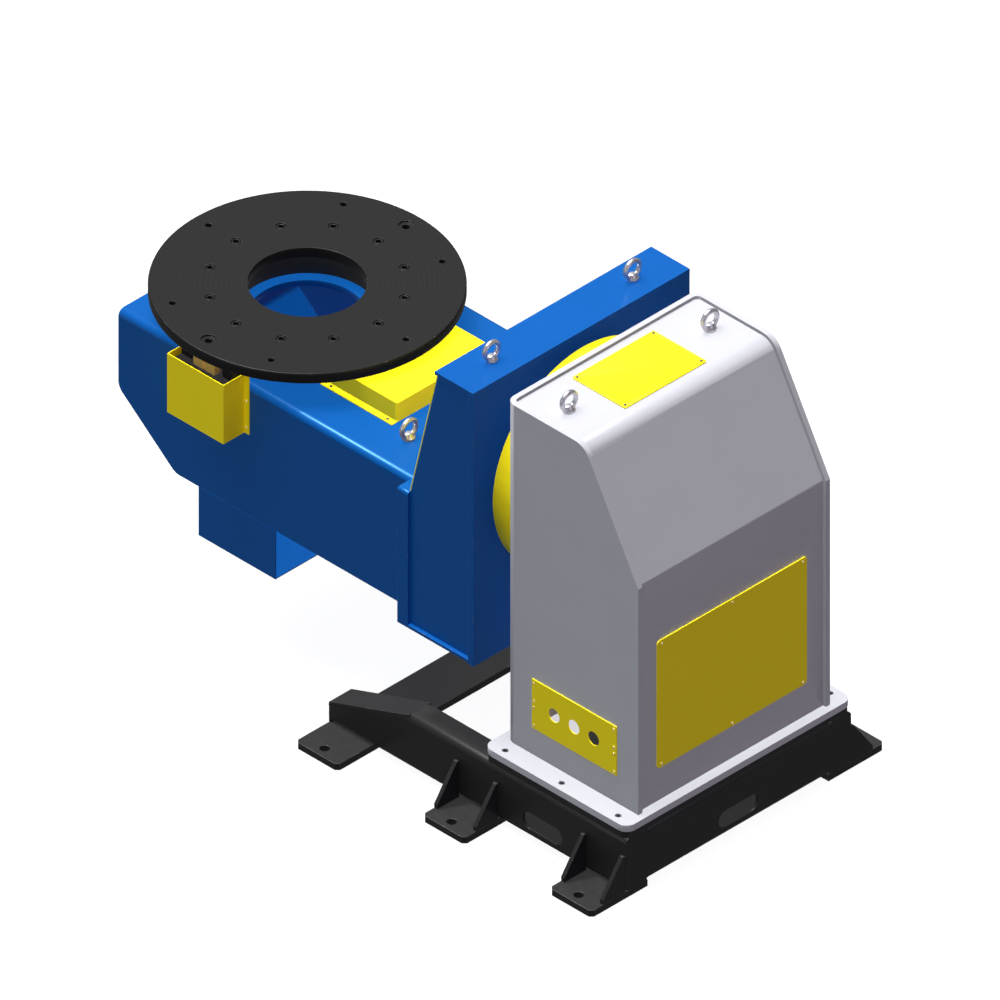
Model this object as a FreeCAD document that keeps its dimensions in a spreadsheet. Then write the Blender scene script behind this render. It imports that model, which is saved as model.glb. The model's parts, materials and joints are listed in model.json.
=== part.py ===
import FreeCAD, Part
import math
import os
import re
import Sketcher

# Two-axis welding positioner. A headstock on a floor frame carries an L-shaped arm on a
# horizontal slewing ring, and the arm carries a round table on a second, equal ring.
# Origin: middle of the four corner floor anchors, on the floor. +X from the arm towards
# the headstock, +Z up. The tilt axis runs along X and lies in the table's underside.

SIZES = {
    # Axes
    "tilt_height": 900,
    "table_reach": 1042,
    # Slewing rings, one for each axis
    "ring_height": 70,
    "ring_bore": 360,
    "ring_step": 7,
    "race_radius": 228,
    "race_gap": 1,
    "roller_size": 20,
    "tooth_module": 8,
    "ring_teeth": 75,
    "pinion_teeth": 15,
    "pressure_angle": 20,
    "tooth_addendum": 6.4,
    "tooth_dedendum": 8,
    "tooth_backlash": 0.5,
    "ring_flank_steps": 2,
    "pinion_flank_steps": 4,
    "inner_bolt_circle": 400,
    "outer_bolt_circle": 505,
    "ring_bolt_count": 12,
    "ring_bolt_size": 16,
    "ring_bolt_clearance": 1.5,
    "bolt_head_size": 24,
    "bolt_head_height": 16,
    "bolt_socket": 14,
    "bolt_engagement": 24,
    "bolt_tip_gap": 4,
    "thread_clearance": 0.4,
    "cable_passage": 300,
    # Drives
    "pinion_width": 39,
    "pinion_lift": 9,
    "pinion_shaft": 60,
    "pinion_collar": 80,
    "pinion_shaft_depth": 60,
    "pinion_shaft_end": 3,
    "pinion_collar_lift": 3.5,
    "shaft_end_gap": 2,
    "running_gap": 0.3,
    "reducer_pilot": 110,
    "reducer_pilot_gap": 0.4,
    "reducer_flange": 200,
    "reducer_flange_thickness": 15,
    "reducer_size": 160,
    "reducer_length": 105,
    "reducer_ring_length": 58,
    "reducer_neck": 146,
    "reducer_neck_cone": 6,
    "adapter_thickness": 20,
    "reducer_bolt_circle": 180,
    "reducer_bolt_count": 8,
    "reducer_bolt_size": 10,
    "reducer_bolt_clearance": 1,
    "motor_size": 130,
    "motor_length": 150,
    "motor_corner": 16,
    "motor_cap_size": 110,
    "motor_cap_length": 40,
    "motor_groove_count": 5,
    "motor_groove_pitch": 16,
    "motor_groove_width": 6,
    "motor_groove_depth": 4,
    "motor_groove_start": 54,
    "motor_plug_place": 8,
    "motor_plug_length": 34,
    "motor_plug_width": 40,
    "motor_plug_height": 32,
    # Table
    "table_diameter": 800,
    "table_thickness": 30,
    "table_bore": 300,
    "table_edge": 2,
    "table_counterbore": 27,
    "table_counterbore_depth": 17,
    "fixture_circle": 700,
    "fixture_hole": 17,
    "fixture_count": 6,
    "locating_hole": 20,
    "locating_recess": 40,
    "locating_recess_depth": 2,
    # Arm
    "arm_margin": 13.6,
    "arm_depth": 400,
    "arm_overhang": 350,
    "arm_plate": 18,
    "arm_edge_radius": 20,
    "arm_edge_leg": 22,
    "arm_nose_height": 235,
    "arm_nose_length": 202,
    "arm_bend_radius": 40,
    "belly_plate": 15,
    "belly_opening_length": 150,
    "belly_opening_width": 300,
    "trough_start": 66,
    "trough_length": 273,
    "trough_depth": 150,
    "trough_plate": 12,
    # Upright
    "flange_thickness": 38,
    "flange_height": 415,
    "flange_edge_radius": 9,
    "flange_opening_width": 480,
    "flange_opening_height": 280,
    "flange_opening_rise": 60,
    "upright_width": 768,
    "upright_depth": 212,
    "upright_rise": 365,
    "front_plate": 20,
    "front_plate_drop": 4,
    "side_plate": 15,
    "side_recess": 10,
    "top_plate": 9,
    "top_plate_depth": 137,
    "bottom_plate": 10,
    "cover_sheet": 3,
    # Pinion cover on the arm
    "pinion_cover_reach": 490,
    "pinion_cover_start": 235,
    "pinion_cover_width": 344,
    "pinion_cover_height": 58,
    "pinion_cover_lip": 19,
    "pinion_cover_gap": 4,
    "pinion_cover_bend": 6,
    "pinion_screw_first": 266,
    "pinion_screw_pitch": 200,
    # Return-current brush unit
    "brush_box_length": 200,
    "brush_box_depth": 77,
    "brush_box_height": 180,
    "brush_box_rise": 30,
    "brush_box_lip": 16,
    "brush_screw_low": 20,
    "brush_screw_pitch": 80,
    "brush_length": 34,
    "brush_width": 22,
    "brush_height": 95,
    "brush_pitch": 40,
    "brush_offset": 36,
    "brush_clearance": 0.3,
    "brush_air": 0.3,
    "holder_length": 180,
    "holder_rise": 15,
    "holder_height": 150,
    "holder_wall": 9,
    "holder_post_length": 35,
    "holder_post_rise": 28,
    "spring_radius": 9,
    "spring_strip": 1.5,
    "spring_width": 14,
    # Tilt ring guard
    "guard_radius": 318,
    "guard_gap": 3,
    "guard_seam": 1.5,
    "guard_lobe_radius": 78,
    "guard_lip": 12,
    "guard_lobe_lip": 4,
    # Headstock
    "headstock_depth": 471,
    "headstock_width": 680,
    "headstock_rise": 358,
    "headstock_plate": 15,
    "headstock_corner": 30,
    "headstock_corner_gap": 1,
    "headstock_top_depth": 280,
    "headstock_slant_drop": 346,
    "headstock_top_radius": 60,
    "cover_inset": 10,
    "cover_plate": 8,
    "top_cover_depth": 190,
    "top_cover_width": 290,
    "top_cover_place": 135,
    "rear_cover_width": 530,
    "rear_cover_height": 390,
    "rear_cover_rise": 100,
    "rear_cover_corner": 10,
    "rear_cover_margin": 15,
    "rear_bend_radius": 16,
    "top_cover_corner": 5,
    "cover_margin": 10,
    "cover_overlap": 22,
    "panel_length": 300,
    "panel_height": 150,
    "panel_place": 96.5,
    "panel_rise": 84,
    "panel_margin": 8,
    "panel_screw_edge": 10,
    "panel_middle_pitch": 20,
    "gland_hole": 40,
    "gland_pitch": 70,
    "gland_shift": 1.5,
    # Small screws for the covers
    "screw_head": 7,
    "screw_head_height": 2.6,
    "screw_socket": 2.5,
    "screw_size": 4,
    "screw_length": 12,
    "screw_clearance": 0.5,
    # Lifting eyes
    "eye_outer": 63,
    "eye_inner": 35,
    "eye_height": 62,
    "eye_collar": 35,
    "eye_collar_height": 5,
    "eye_neck": 23,
    "eye_neck_height": 12,
    "eye_thread": 16,
    "eye_thread_length": 22,
    "arm_eye_place": 560,
    "arm_eye_spread": 400,
    "top_eye_spread": 500,
    "top_eye_shift": 9,
    "headstock_eye_turn": 15,
    # Floor frame
    "beam_length": 1052,
    "beam_width": 80,
    "beam_height": 160,
    "beam_wall": 8,
    "beam_corner": 15,
    "beam_rim": 1,
    "nose_height": 60,
    "nose_length": 284,
    "slot_length": 140,
    "slot_height": 50,
    "slot_rise": 50,
    "beam_slot_shift": 6,
    "foot_length": 150,
    "foot_width": 200,
    "foot_thickness": 20,
    "foot_inset": 1,
    "foot_chamfer": 10,
    "anchor_hole": 26,
    "anchor_edge": 30,
    "gusset_plate": 12,
    "gusset_height": 127,
    "gusset_flat": 20,
    "gusset_length": 85,
    "gusset_toe": 20,
    "pad_plate": 20,
    "pad_inset": 5,
    "pad_side_inset": 2,
    "pad_chamfer": 13,
    "base_plate": 20,
    "base_rim_front": 19,
    "base_rim_rear": 20,
    "base_rim_side": 61,
    "base_plate_corner": 30,
    "base_bolt_size": 10,
    "base_bolt_clearance": 1,
    "base_bolt_head": 16,
    "base_bolt_head_height": 10,
    "base_bolt_socket": 8,
    "base_bolt_end": 55,
    "base_bolt_edge": 25,
    "base_counterbore": 17.5,
    "base_counterbore_depth": 11,
    "base_bolt_length": 27,
}

# Places that follow from the sizes
PLACES = {
    "foot_pitch": "(beam_length - foot_length)/2 - foot_inset",
    "beam_slot_place": "foot_pitch/2 + beam_slot_shift",
    "headstock_front": "beam_length/2 + pad_inset - base_rim_rear - headstock_depth",
    "table_offset": "table_reach - headstock_front",
    "arm_width": "2*(gear_radius + tooth_addendum + arm_margin)",
    "base_plate_front": "headstock_front - base_rim_front",
    "base_plate_length": "headstock_depth + base_rim_front + base_rim_rear",
    "base_plate_width": "headstock_width + 2*base_rim_side",
    "pad_front": "base_plate_front + pad_inset",
    "pad_length": "base_plate_length - 2*pad_inset",
    "pad_width": "base_plate_width - 2*pad_side_inset",
    "frame_width": "pad_width + 2*beam_rim",
    "base_bolt_pitch": "base_plate_length/2 - base_bolt_end",
    "arm_top": "tilt_height - ring_height",
    "arm_bottom": "arm_top - arm_depth",
    "arm_end": "-table_offset - arm_overhang",
    "upright_face": "headstock_front - ring_height",
    "upright_inside": "upright_face - front_plate",
    "flange_front": "upright_inside - upright_depth",
    "flange_back": "flange_front - flange_thickness",
    "flange_top": "arm_bottom + flange_height",
    "upright_top": "tilt_height + upright_rise",
    "upright_lid": "upright_top - top_plate",
    "side_plate_out": "upright_width/2 - side_recess",
    "gear_radius": "ring_teeth*tooth_module/2",
    "drive_distance": "(ring_teeth + pinion_teeth)*tooth_module/2",
    "beam_top": "foot_thickness + beam_height",
    "pad_top": "beam_top + pad_plate",
    "headstock_foot": "pad_top + base_plate",
    "headstock_top": "tilt_height + headstock_rise",
    "headstock_rear": "headstock_front + headstock_depth",
    "headstock_knee": "headstock_top - headstock_slant_drop",
    "headstock_inside": "headstock_front + headstock_plate",
    "cover_top": "headstock_top - cover_inset",
    "cover_rear": "headstock_rear - cover_inset",
    "top_cover_x": "headstock_front + top_cover_place",
    "panel_x": "headstock_front + panel_place + panel_length/2",
    "panel_z": "headstock_foot + panel_rise + panel_height/2",
    "brush_box_top": "arm_top + brush_box_rise",
    "holder_bottom": "brush_box_top - brush_box_height + holder_rise",
    "holder_top": "holder_bottom + holder_height",
    "foot_out": "frame_width/2 - beam_width + foot_width",
    "anchor_y": "foot_out - anchor_edge",
    "eye_radius": "eye_outer/2",
    "eye_section": "(eye_outer - eye_inner)/4",
    "tooth_top": "pinion_lift + pinion_width",
    "arm_eye_x": "-table_offset + arm_eye_place",
    "lid_corner": "upright_face - top_plate_depth",
    "top_eye_x": "(lid_corner + upright_inside)/2 + top_eye_shift",
    "pinion_screw_y": "pinion_cover_width/2 + pinion_cover_lip/2",
    "brush_box_bottom": "brush_box_top - brush_box_height",
    "brush_screw_x": "brush_box_length/2 + brush_box_lip/2",
    "brush_screw_first": "brush_box_bottom + brush_screw_low",
    "brush_screw_second": "brush_screw_first + brush_screw_pitch",
}

doc = FreeCAD.newDocument("WeldingPositioner")
sheet = doc.addObject("Spreadsheet::Sheet", "Sizes")
for row, (name, number) in enumerate(SIZES.items(), start=1):
    sheet.set(f"A{row}", name)
    sheet.set(f"B{row}", str(number))
    sheet.setAlias(f"B{row}", name)
doc.recompute()

ruler = doc.addObject("App::FeaturePython", "Ruler")
ruler.addProperty("App::PropertyFloat", "Reading")
readings = {}
pieces = []
# Lengths closer than this, in millimetres, count as equal
SMALL_STEP = 0.01


def rule(text):
    """Write a size rule out in full, with every size taken from the sheet."""
    def spell_out(match):
        word = match.group()
        if word in PLACES:
            return "(" + rule(PLACES[word]) + ")"
        return "Sizes." + word if word in SIZES else word
    return re.sub(r"[a-z]\w*", spell_out, text)


def measure(text):
    """Give a size rule's present value in millimetres or degrees."""
    if text not in readings:
        ruler.setExpression("Reading", rule(text))
        ruler.recompute()
        readings[text] = ruler.Reading
    return readings[text]


def bind(item, **rules):
    for name, text in rules.items():
        item.setExpression(name, rule(text))


def finish_piece(piece, label):
    piece.Label = label
    pieces.append(piece)
    return piece


def new_body(name):
    return doc.addObject("PartDesign::Body", name)


def place(item, x="0", y="0", z="0", turn=None):
    """Put an item at a point, turned by an (axis, angle) pair."""
    if turn:
        item.Placement = FreeCAD.Placement(FreeCAD.Vector(), FreeCAD.Rotation(*turn))
    for axis, text in zip("xyz", (x, y, z)):
        item.setExpression(f"Placement.Base.{axis}", rule(text))
    return item


# Sketches. On XY the sketch runs along X and Y and grows to +Z, on YZ along Y and Z and
# grows to +X, and on XZ along X and Z and grows to -Y.
def new_sketch(body, plane, start):
    base = [item for item in body.Origin.OriginFeatures if item.Role == plane + "_Plane"][0]
    sketch = body.newObject("Sketcher::SketchObject", "Sketch")
    sketch.AttachmentSupport = (base, [""])
    sketch.MapMode = "FlatFace"
    sketch.setExpression("AttachmentOffset.Base.z", rule(start))
    return sketch


def hold(sketch, kind, text, *ends):
    number = sketch.addConstraint(Sketcher.Constraint(kind, *ends, measure(text)))
    sketch.setExpression(f"Constraints[{number}]", rule(text))


def hold_point(sketch, shape, end, point):
    hold(sketch, "DistanceX", point[0], -1, 1, shape, end)
    hold(sketch, "DistanceY", point[1], -1, 1, shape, end)


def spot(point):
    return FreeCAD.Vector(measure(point[0]), measure(point[1]), 0)


def draw_outline(sketch, corners):
    first = sketch.GeometryCount
    following = corners[1:] + corners[:1]
    for here, there in zip(corners, following):
        sketch.addGeometry(Part.LineSegment(spot(here), spot(there)))
    for step in range(len(corners)):
        after = first + (step + 1) % len(corners)
        sketch.addConstraint(Sketcher.Constraint("Coincident", first + step, 2, after, 1))
    for step, corner in enumerate(corners):
        hold_point(sketch, first + step, 1, corner)


def draw_circle(sketch, centre, diameter):
    middle = spot(centre)
    circle = Part.Circle(middle, FreeCAD.Vector(0, 0, 1), measure(diameter) / 2)
    number = sketch.addGeometry(circle)
    hold_point(sketch, number, 3, centre)
    hold(sketch, "Diameter", diameter, number)


def draw_slot(sketch, centre, length, width):
    """A slot with round ends, lying along the sketch's first axis."""
    reach = f"({length} - {width})/2"
    ends = [(f"{centre[0]} + {reach}", centre[1]), (f"{centre[0]} - {reach}", centre[1])]
    radius = measure(width) / 2
    up = FreeCAD.Vector(0, 0, 1)
    right = sketch.addGeometry(Part.ArcOfCircle(
        Part.Circle(spot(ends[0]), up, radius), -math.pi / 2, math.pi / 2))
    left = sketch.addGeometry(Part.ArcOfCircle(
        Part.Circle(spot(ends[1]), up, radius), math.pi / 2, 3 * math.pi / 2))
    rise = FreeCAD.Vector(0, radius, 0)
    top = sketch.addGeometry(Part.LineSegment(spot(ends[0]) + rise, spot(ends[1]) + rise))
    low = sketch.addGeometry(Part.LineSegment(spot(ends[1]) - rise, spot(ends[0]) - rise))
    for arc, end, line, line_end in ((right, 2, top, 1), (left, 1, top, 2),
                                     (left, 2, low, 1), (right, 1, low, 2)):
        sketch.addConstraint(Sketcher.Constraint("Tangent", arc, end, line, line_end))
    hold_point(sketch, right, 3, ends[0])
    hold_point(sketch, left, 3, ends[1])
    hold(sketch, "Diameter", width, right)


def draw(sketch, outlines, circles, slots):
    for corners in outlines:
        draw_outline(sketch, corners)
    for centre, diameter in circles:
        draw_circle(sketch, centre, diameter)
    for centre, length, width in slots:
        draw_slot(sketch, centre, length, width)


def add_pad(body, plane, start, length, outlines=(), circles=(), slots=()):
    """Solid over the stretch from start to start + length along the sketch's normal."""
    sketch = new_sketch(body, plane, start)
    draw(sketch, outlines, circles, slots)
    pad = body.newObject("PartDesign::Pad", "Pad")
    pad.Profile = sketch
    bind(pad, Length=length)
    return pad


def add_pocket(body, plane, start, length, outlines=(), circles=(), slots=()):
    """Cut over the stretch from start to start + length along the sketch's normal."""
    sketch = new_sketch(body, plane, f"{start} + {length}")
    draw(sketch, outlines, circles, slots)
    pocket = body.newObject("PartDesign::Pocket", "Pocket")
    pocket.Profile = sketch
    bind(pocket, Length=length)
    return pocket


def add_turned(body, kind, section):
    """Revolve a section of (radius, height) corners about the body's Z axis."""
    sketch = new_sketch(body, "XZ", "0")
    draw_outline(sketch, section)
    turned = body.newObject("PartDesign::" + kind, kind)
    turned.Profile = sketch
    turned.ReferenceAxis = (sketch, ["V_Axis"])
    turned.Angle = 360
    return turned


def repeat_around(body, feature, count):
    """Repeat a feature evenly about the body's Z axis."""
    pattern = body.newObject("PartDesign::PolarPattern", "Ring")
    pattern.Originals = [feature]
    axis = [item for item in body.Origin.OriginFeatures if item.Role == "Z_Axis"][0]
    pattern.Axis = (axis, [""])
    pattern.Angle = 360
    bind(pattern, Occurrences=count)
    body.Tip = pattern
    return pattern


def edges_at(shape, *places):
    """Names of the edges whose ends share the given x, y or z values."""
    names = []
    for number, edge in enumerate(shape.Edges, start=1):
        for wanted in places:
            ends = [vertex.Point for vertex in edge.Vertexes]
            if all(abs(getattr(end, axis) - measure(text)) < SMALL_STEP
                   for end in ends for axis, text in wanted.items()):
                names.append(f"Edge{number}")
                break
    return names


def round_edges(body, radius, *places):
    doc.recompute()
    base = body.Tip
    fillet = body.newObject("PartDesign::Fillet", "Rounding")
    fillet.Base = (base, edges_at(base.Shape, *places))
    bind(fillet, Radius=radius)
    return fillet


def cut_corners(body, size, *places):
    doc.recompute()
    base = body.Tip
    chamfer = body.newObject("PartDesign::Chamfer", "Chamfer")
    chamfer.Base = (base, edges_at(base.Shape, *places))
    bind(chamfer, Size=size)
    return chamfer


def box(left, right, low, high):
    """Corners of a rectangle from its limits along the sketch's two axes."""
    return [(left, low), (right, low), (right, high), (left, high)]


def around(centre, circle, diameter, count, first=0):
    """Circles of one diameter, evenly round a bolt circle."""
    total = round(measure(count))
    found = []
    for step in range(total):
        angle = first + 360 * step / total
        x = f"{centre[0]} + ({circle})/2*cos({angle})"
        y = f"{centre[1]} + ({circle})/2*sin({angle})"
        found.append(((x, y), diameter))
    return found


def copies(label, source, spots):
    """One group of equal pieces: (x, y, z, turn) for each."""
    links = []
    for x, y, z, turn in spots:
        link = doc.addObject("App::Link", source.Name + "Copy")
        link.LinkedObject = source
        links.append(place(link, x, y, z, turn))
    group = doc.addObject("Part::Compound", label)
    group.Links = links
    return finish_piece(group, label)


UPRIGHT = (FreeCAD.Vector(0, 0, 1), 0)
UPSIDE_DOWN = (FreeCAD.Vector(1, 0, 0), 180)
# The tilt ring's frame: its axis points along -X and its drive hangs below
TILT_TURN = (FreeCAD.Vector(1, 0, -1), 180)


# Fasteners
def socket_screw(name, head, head_height, size, length, socket):
    """Socket head screw: head above z = 0, shank below."""
    body = new_body(name)
    add_turned(body, "Revolution", [
        ("0", f"-({length})"), (f"{size}/2", f"-({length})"), (f"{size}/2", "0"),
        (f"{head}/2", "0"), (f"{head}/2", head_height), ("0", head_height)])
    hexagon = [(f"{socket}/sqrt(3)*cos({angle})", f"{socket}/sqrt(3)*sin({angle})")
               for angle in range(0, 360, 60)]
    add_pocket(body, "XY", f"{head_height}/2", f"{head_height}/2", [hexagon])
    return body


def plain_bolt(name, head, head_height, size, length):
    """Bolt out of sight: round head above z = 0, shank below."""
    body = new_body(name)
    add_turned(body, "Revolution", [
        ("0", f"-({length})"), (f"{size}/2", f"-({length})"), (f"{size}/2", "0"),
        (f"{head}/2", "0"), (f"{head}/2", head_height), ("0", head_height)])
    return body


def lifting_eye():
    """Lifting eye bolt: collar on z = 0, ring in the YZ plane, thread below."""
    body = new_body("LiftingEye")
    middle = "eye_height - eye_radius"
    add_turned(body, "Revolution", [
        ("0", "-eye_thread_length"), ("eye_thread/2", "-eye_thread_length"),
        ("eye_thread/2", "0"), ("eye_collar/2", "0"),
        ("eye_collar/2", "eye_collar_height"),
        ("eye_neck/2", "eye_neck_height"), ("0", "eye_neck_height")])
    ring = doc.addObject("Part::Torus", "EyeRing")
    bind(ring, Radius1="eye_radius - eye_section", Radius2="eye_section")
    place(ring, z=middle, turn=(FreeCAD.Vector(0, 1, 0), 90))
    eye = doc.addObject("Part::Fuse", "Eye")
    eye.Base = body
    eye.Tool = ring
    return eye


# Slewing rings and their drives, all in the ring's own frame: the fixed face at z = 0,
# the turning face at z = ring_height and the drive beside the ring along +x.
def gear_outline(wheel, phase, height):
    """Corners of a straight-toothed gear wheel with involute flanks."""
    module = measure("tooth_module")
    teeth = round(measure(wheel + "_teeth"))
    flank_steps = round(measure(wheel + "_flank_steps"))
    pitch = module * teeth / 2
    angle = math.radians(measure("pressure_angle"))
    base = pitch * math.cos(angle)
    tip = pitch + measure("tooth_addendum")
    root = pitch - measure("tooth_dedendum")
    half = (math.pi * module - measure("tooth_backlash")) / (4 * pitch)
    lowest = max(root, base)

    def involute(radius):
        slope = math.acos(base / radius)
        return math.tan(slope) - slope

    flank = [(root, half + involute(pitch) - involute(lowest))]
    for step in range(flank_steps + 1):
        radius = lowest + (tip - lowest) * step / flank_steps
        turn = half + involute(pitch) - involute(radius)
        if radius > root + SMALL_STEP:
            flank.append((radius, turn))
    corners = []
    for tooth in range(teeth):
        middle = math.radians(phase) + 2 * math.pi * tooth / teeth
        for radius, turn in flank:
            corners.append((radius, middle - turn))
        for radius, turn in reversed(flank):
            corners.append((radius, middle + turn))
    return [FreeCAD.Vector(radius * math.cos(turn), radius * math.sin(turn), height)
            for radius, turn in corners]


def toothed_blank(name, corners, bore, width):
    """Straight-toothed wheel of the given width, with a round bore or none."""
    face = Part.Face(Part.makePolygon(corners + corners[:1]))
    if bore:
        middle = FreeCAD.Vector(0, 0, corners[0].z)
        face = face.cut(Part.Face(Part.Wire(Part.makeCircle(bore, middle))))
    blank = doc.addObject("Part::Feature", name)
    blank.Shape = face.extrude(FreeCAD.Vector(0, 0, width))
    return blank


def gear_ring(label, where):
    """Turning outer ring with the teeth cut in its rim."""
    corners = gear_outline("ring", 0, measure("ring_step"))
    blank = toothed_blank(label + "_blank", corners, measure("race_radius + race_gap/2"),
                          measure("ring_height - ring_step"))
    body = new_body(label)
    body.BaseFeature = blank
    groove = "roller_size/2*sqrt(2)"
    inner = "race_radius"
    add_turned(body, "Groove", [
        (inner, f"ring_height/2 - {groove} - race_gap"),
        (f"{inner} + {groove} + race_gap", "ring_height/2"),
        (inner, f"ring_height/2 + {groove} + race_gap")])
    hole = add_pocket(body, "XY", "ring_height - bolt_engagement", "bolt_engagement",
                      circles=[(("outer_bolt_circle/2", "0"),
                                "ring_bolt_size + thread_clearance")])
    repeat_around(body, hole, "ring_bolt_count")
    return finish_piece(where(body), label)


def fixed_ring(label, where):
    """Fixed inner ring with the other half of the roller track."""
    body = new_body(label)
    groove = "roller_size/2*sqrt(2) + race_gap"
    outer = "race_radius - race_gap/2"
    top = "ring_height - ring_step"
    add_turned(body, "Revolution", [
        ("ring_bore/2", "0"), (outer, "0"), (outer, f"ring_height/2 - ({groove})"),
        (f"race_radius - ({groove})", "ring_height/2"),
        (outer, f"ring_height/2 + {groove}"), (outer, top), ("ring_bore/2", top)])
    hole = add_pocket(body, "XY", "0", "bolt_engagement",
                      circles=[(("inner_bolt_circle/2", "0"),
                                "ring_bolt_size + thread_clearance")])
    repeat_around(body, hole, "ring_bolt_count")
    return finish_piece(where(body), label)


def drive_pinion(label, where):
    """Pinion on its output shaft, in mesh with the gear ring."""
    half_tooth = 180 / measure("pinion_teeth")
    corners = gear_outline("pinion", 180 + half_tooth, measure("pinion_lift"))
    blank = toothed_blank(label + "_blank", corners, 0, measure("pinion_width"))
    body = new_body(label)
    body.BaseFeature = blank
    add_turned(body, "Revolution", [
        ("0", "-pinion_shaft_depth"), ("pinion_shaft/2", "-pinion_shaft_depth"),
        ("pinion_shaft/2", "pinion_collar_lift"), ("pinion_collar/2", "pinion_collar_lift"),
        ("pinion_collar/2", "pinion_lift"), ("pinion_shaft/2", "tooth_top"),
        ("pinion_shaft/2", "tooth_top + pinion_shaft_end"),
        ("0", "tooth_top + pinion_shaft_end")])
    return finish_piece(where(body, "drive_distance"), label)


def drive_reducer(label, where, wall):
    """Planetary reducer: pilot in the wall, flange behind it, square motor adapter."""
    body = new_body(label)
    bore = "pinion_shaft/2 + running_gap"
    face = f"-({wall})"
    back = f"{face} - reducer_flange_thickness"
    end = f"{back} - reducer_length"
    ring_end = f"{back} - reducer_ring_length"
    shaft_end = "-pinion_shaft_depth - shaft_end_gap"
    add_turned(body, "Revolution", [
        (bore, "0"), ("reducer_pilot/2", "0"), ("reducer_pilot/2", face),
        ("reducer_flange/2", face), ("reducer_flange/2", back),
        ("reducer_size/2", back), ("reducer_size/2", ring_end),
        ("reducer_neck/2", f"{ring_end} - reducer_neck_cone"), ("reducer_neck/2", end),
        ("0", end), ("0", shaft_end), (bore, shaft_end)])
    add_pad(body, "XY", end, "adapter_thickness",
            [box("-motor_size/2", "motor_size/2", "-motor_size/2", "motor_size/2")])
    round_edges(body, "motor_corner", *motor_corners())
    hole = add_pocket(body, "XY", back, "reducer_flange_thickness",
                      circles=[(("reducer_bolt_circle/2", "0"),
                                "reducer_bolt_size + reducer_bolt_clearance")])
    repeat_around(body, hole, "reducer_bolt_count")
    return finish_piece(where(body, "drive_distance"), label)


def motor_corners():
    return [{"x": side_x, "y": side_y} for side_x in ("motor_size/2", "-motor_size/2")
            for side_y in ("motor_size/2", "-motor_size/2")]


def drive_motor(label, where, wall):
    """Ribbed servo motor with its brake and encoder cap, behind the reducer."""
    body = new_body(label)
    front = f"-({wall}) - reducer_flange_thickness - reducer_length"
    back = f"{front} - motor_length"
    half = "motor_size/2"
    add_pad(body, "XY", back, "motor_length", [box("-" + half, half, "-" + half, half)])
    round_edges(body, "motor_corner", *motor_corners())
    inner = f"{half} - motor_groove_depth"
    for step in range(round(measure("motor_groove_count"))):
        low = f"{back} + motor_groove_start + {step}*motor_groove_pitch"
        add_pocket(body, "XY", low, "motor_groove_width",
                   [box("-motor_size", "motor_size", "-motor_size", "motor_size"),
                    box(f"-({inner})", inner, f"-({inner})", inner)])
    add_pad(body, "XY", f"{back} - motor_cap_length", "motor_cap_length",
            circles=[(("0", "0"), "motor_cap_size")])
    add_pad(body, "XY", f"{back} + motor_plug_place", "motor_plug_length",
            [box(half, f"{half} + motor_plug_height",
                 "-motor_plug_width/2", "motor_plug_width/2")])
    return finish_piece(where(body, "drive_distance"), label)


def in_table_frame(item, x="0", y="0", z="0"):
    return place(item, f"-table_offset + {x}", y, f"arm_top + {z}", UPRIGHT)


def in_tilt_frame(item, x="0", y="0", z="0"):
    return place(item, f"headstock_front - ({z})", f"-({y})", f"tilt_height - ({x})",
                 TILT_TURN)


def ring_bolts(label, bolt, frame, circle, height, upside_down):
    """Bolts of one ring, their heads seated at the given height in the ring's frame."""
    links = []
    for (x, y), _ in around(("0", "0"), circle, "0", "ring_bolt_count"):
        link = doc.addObject("App::Link", bolt.Name + "Copy")
        link.LinkedObject = bolt
        frame(link, x, y, height)
        if upside_down:
            link.Placement.Rotation = link.Placement.Rotation * FreeCAD.Rotation(*UPSIDE_DOWN)
        links.append(link)
    group = doc.addObject("Part::Compound", label)
    group.Links = links
    return finish_piece(group, label)


def both_drives():
    for name, frame, wall in (("table", in_table_frame, "arm_plate"),
                              ("tilt", in_tilt_frame, "headstock_plate")):
        gear_ring(f"{name}_gear_ring", frame)
        fixed_ring(f"{name}_fixed_ring", frame)
        drive_pinion(f"{name}_pinion", frame)
        drive_reducer(f"{name}_reducer", frame, wall)
        drive_motor(f"{name}_servo_motor", frame, wall)
        ring_bolts(f"{name}_fixed_ring_bolts", hidden_bolt(name, wall), frame,
                   "inner_bolt_circle", f"-({wall})", True)
    ring_bolts("tilt_gear_ring_bolts", hidden_bolt("upright", "front_plate"), in_tilt_frame,
               "outer_bolt_circle", "ring_height + front_plate", False)


def hidden_bolt(name, wall):
    return plain_bolt(name + "_bolt", "bolt_head_size", "bolt_head_height", "ring_bolt_size",
                      f"{wall} + bolt_engagement - bolt_tip_gap")


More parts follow.
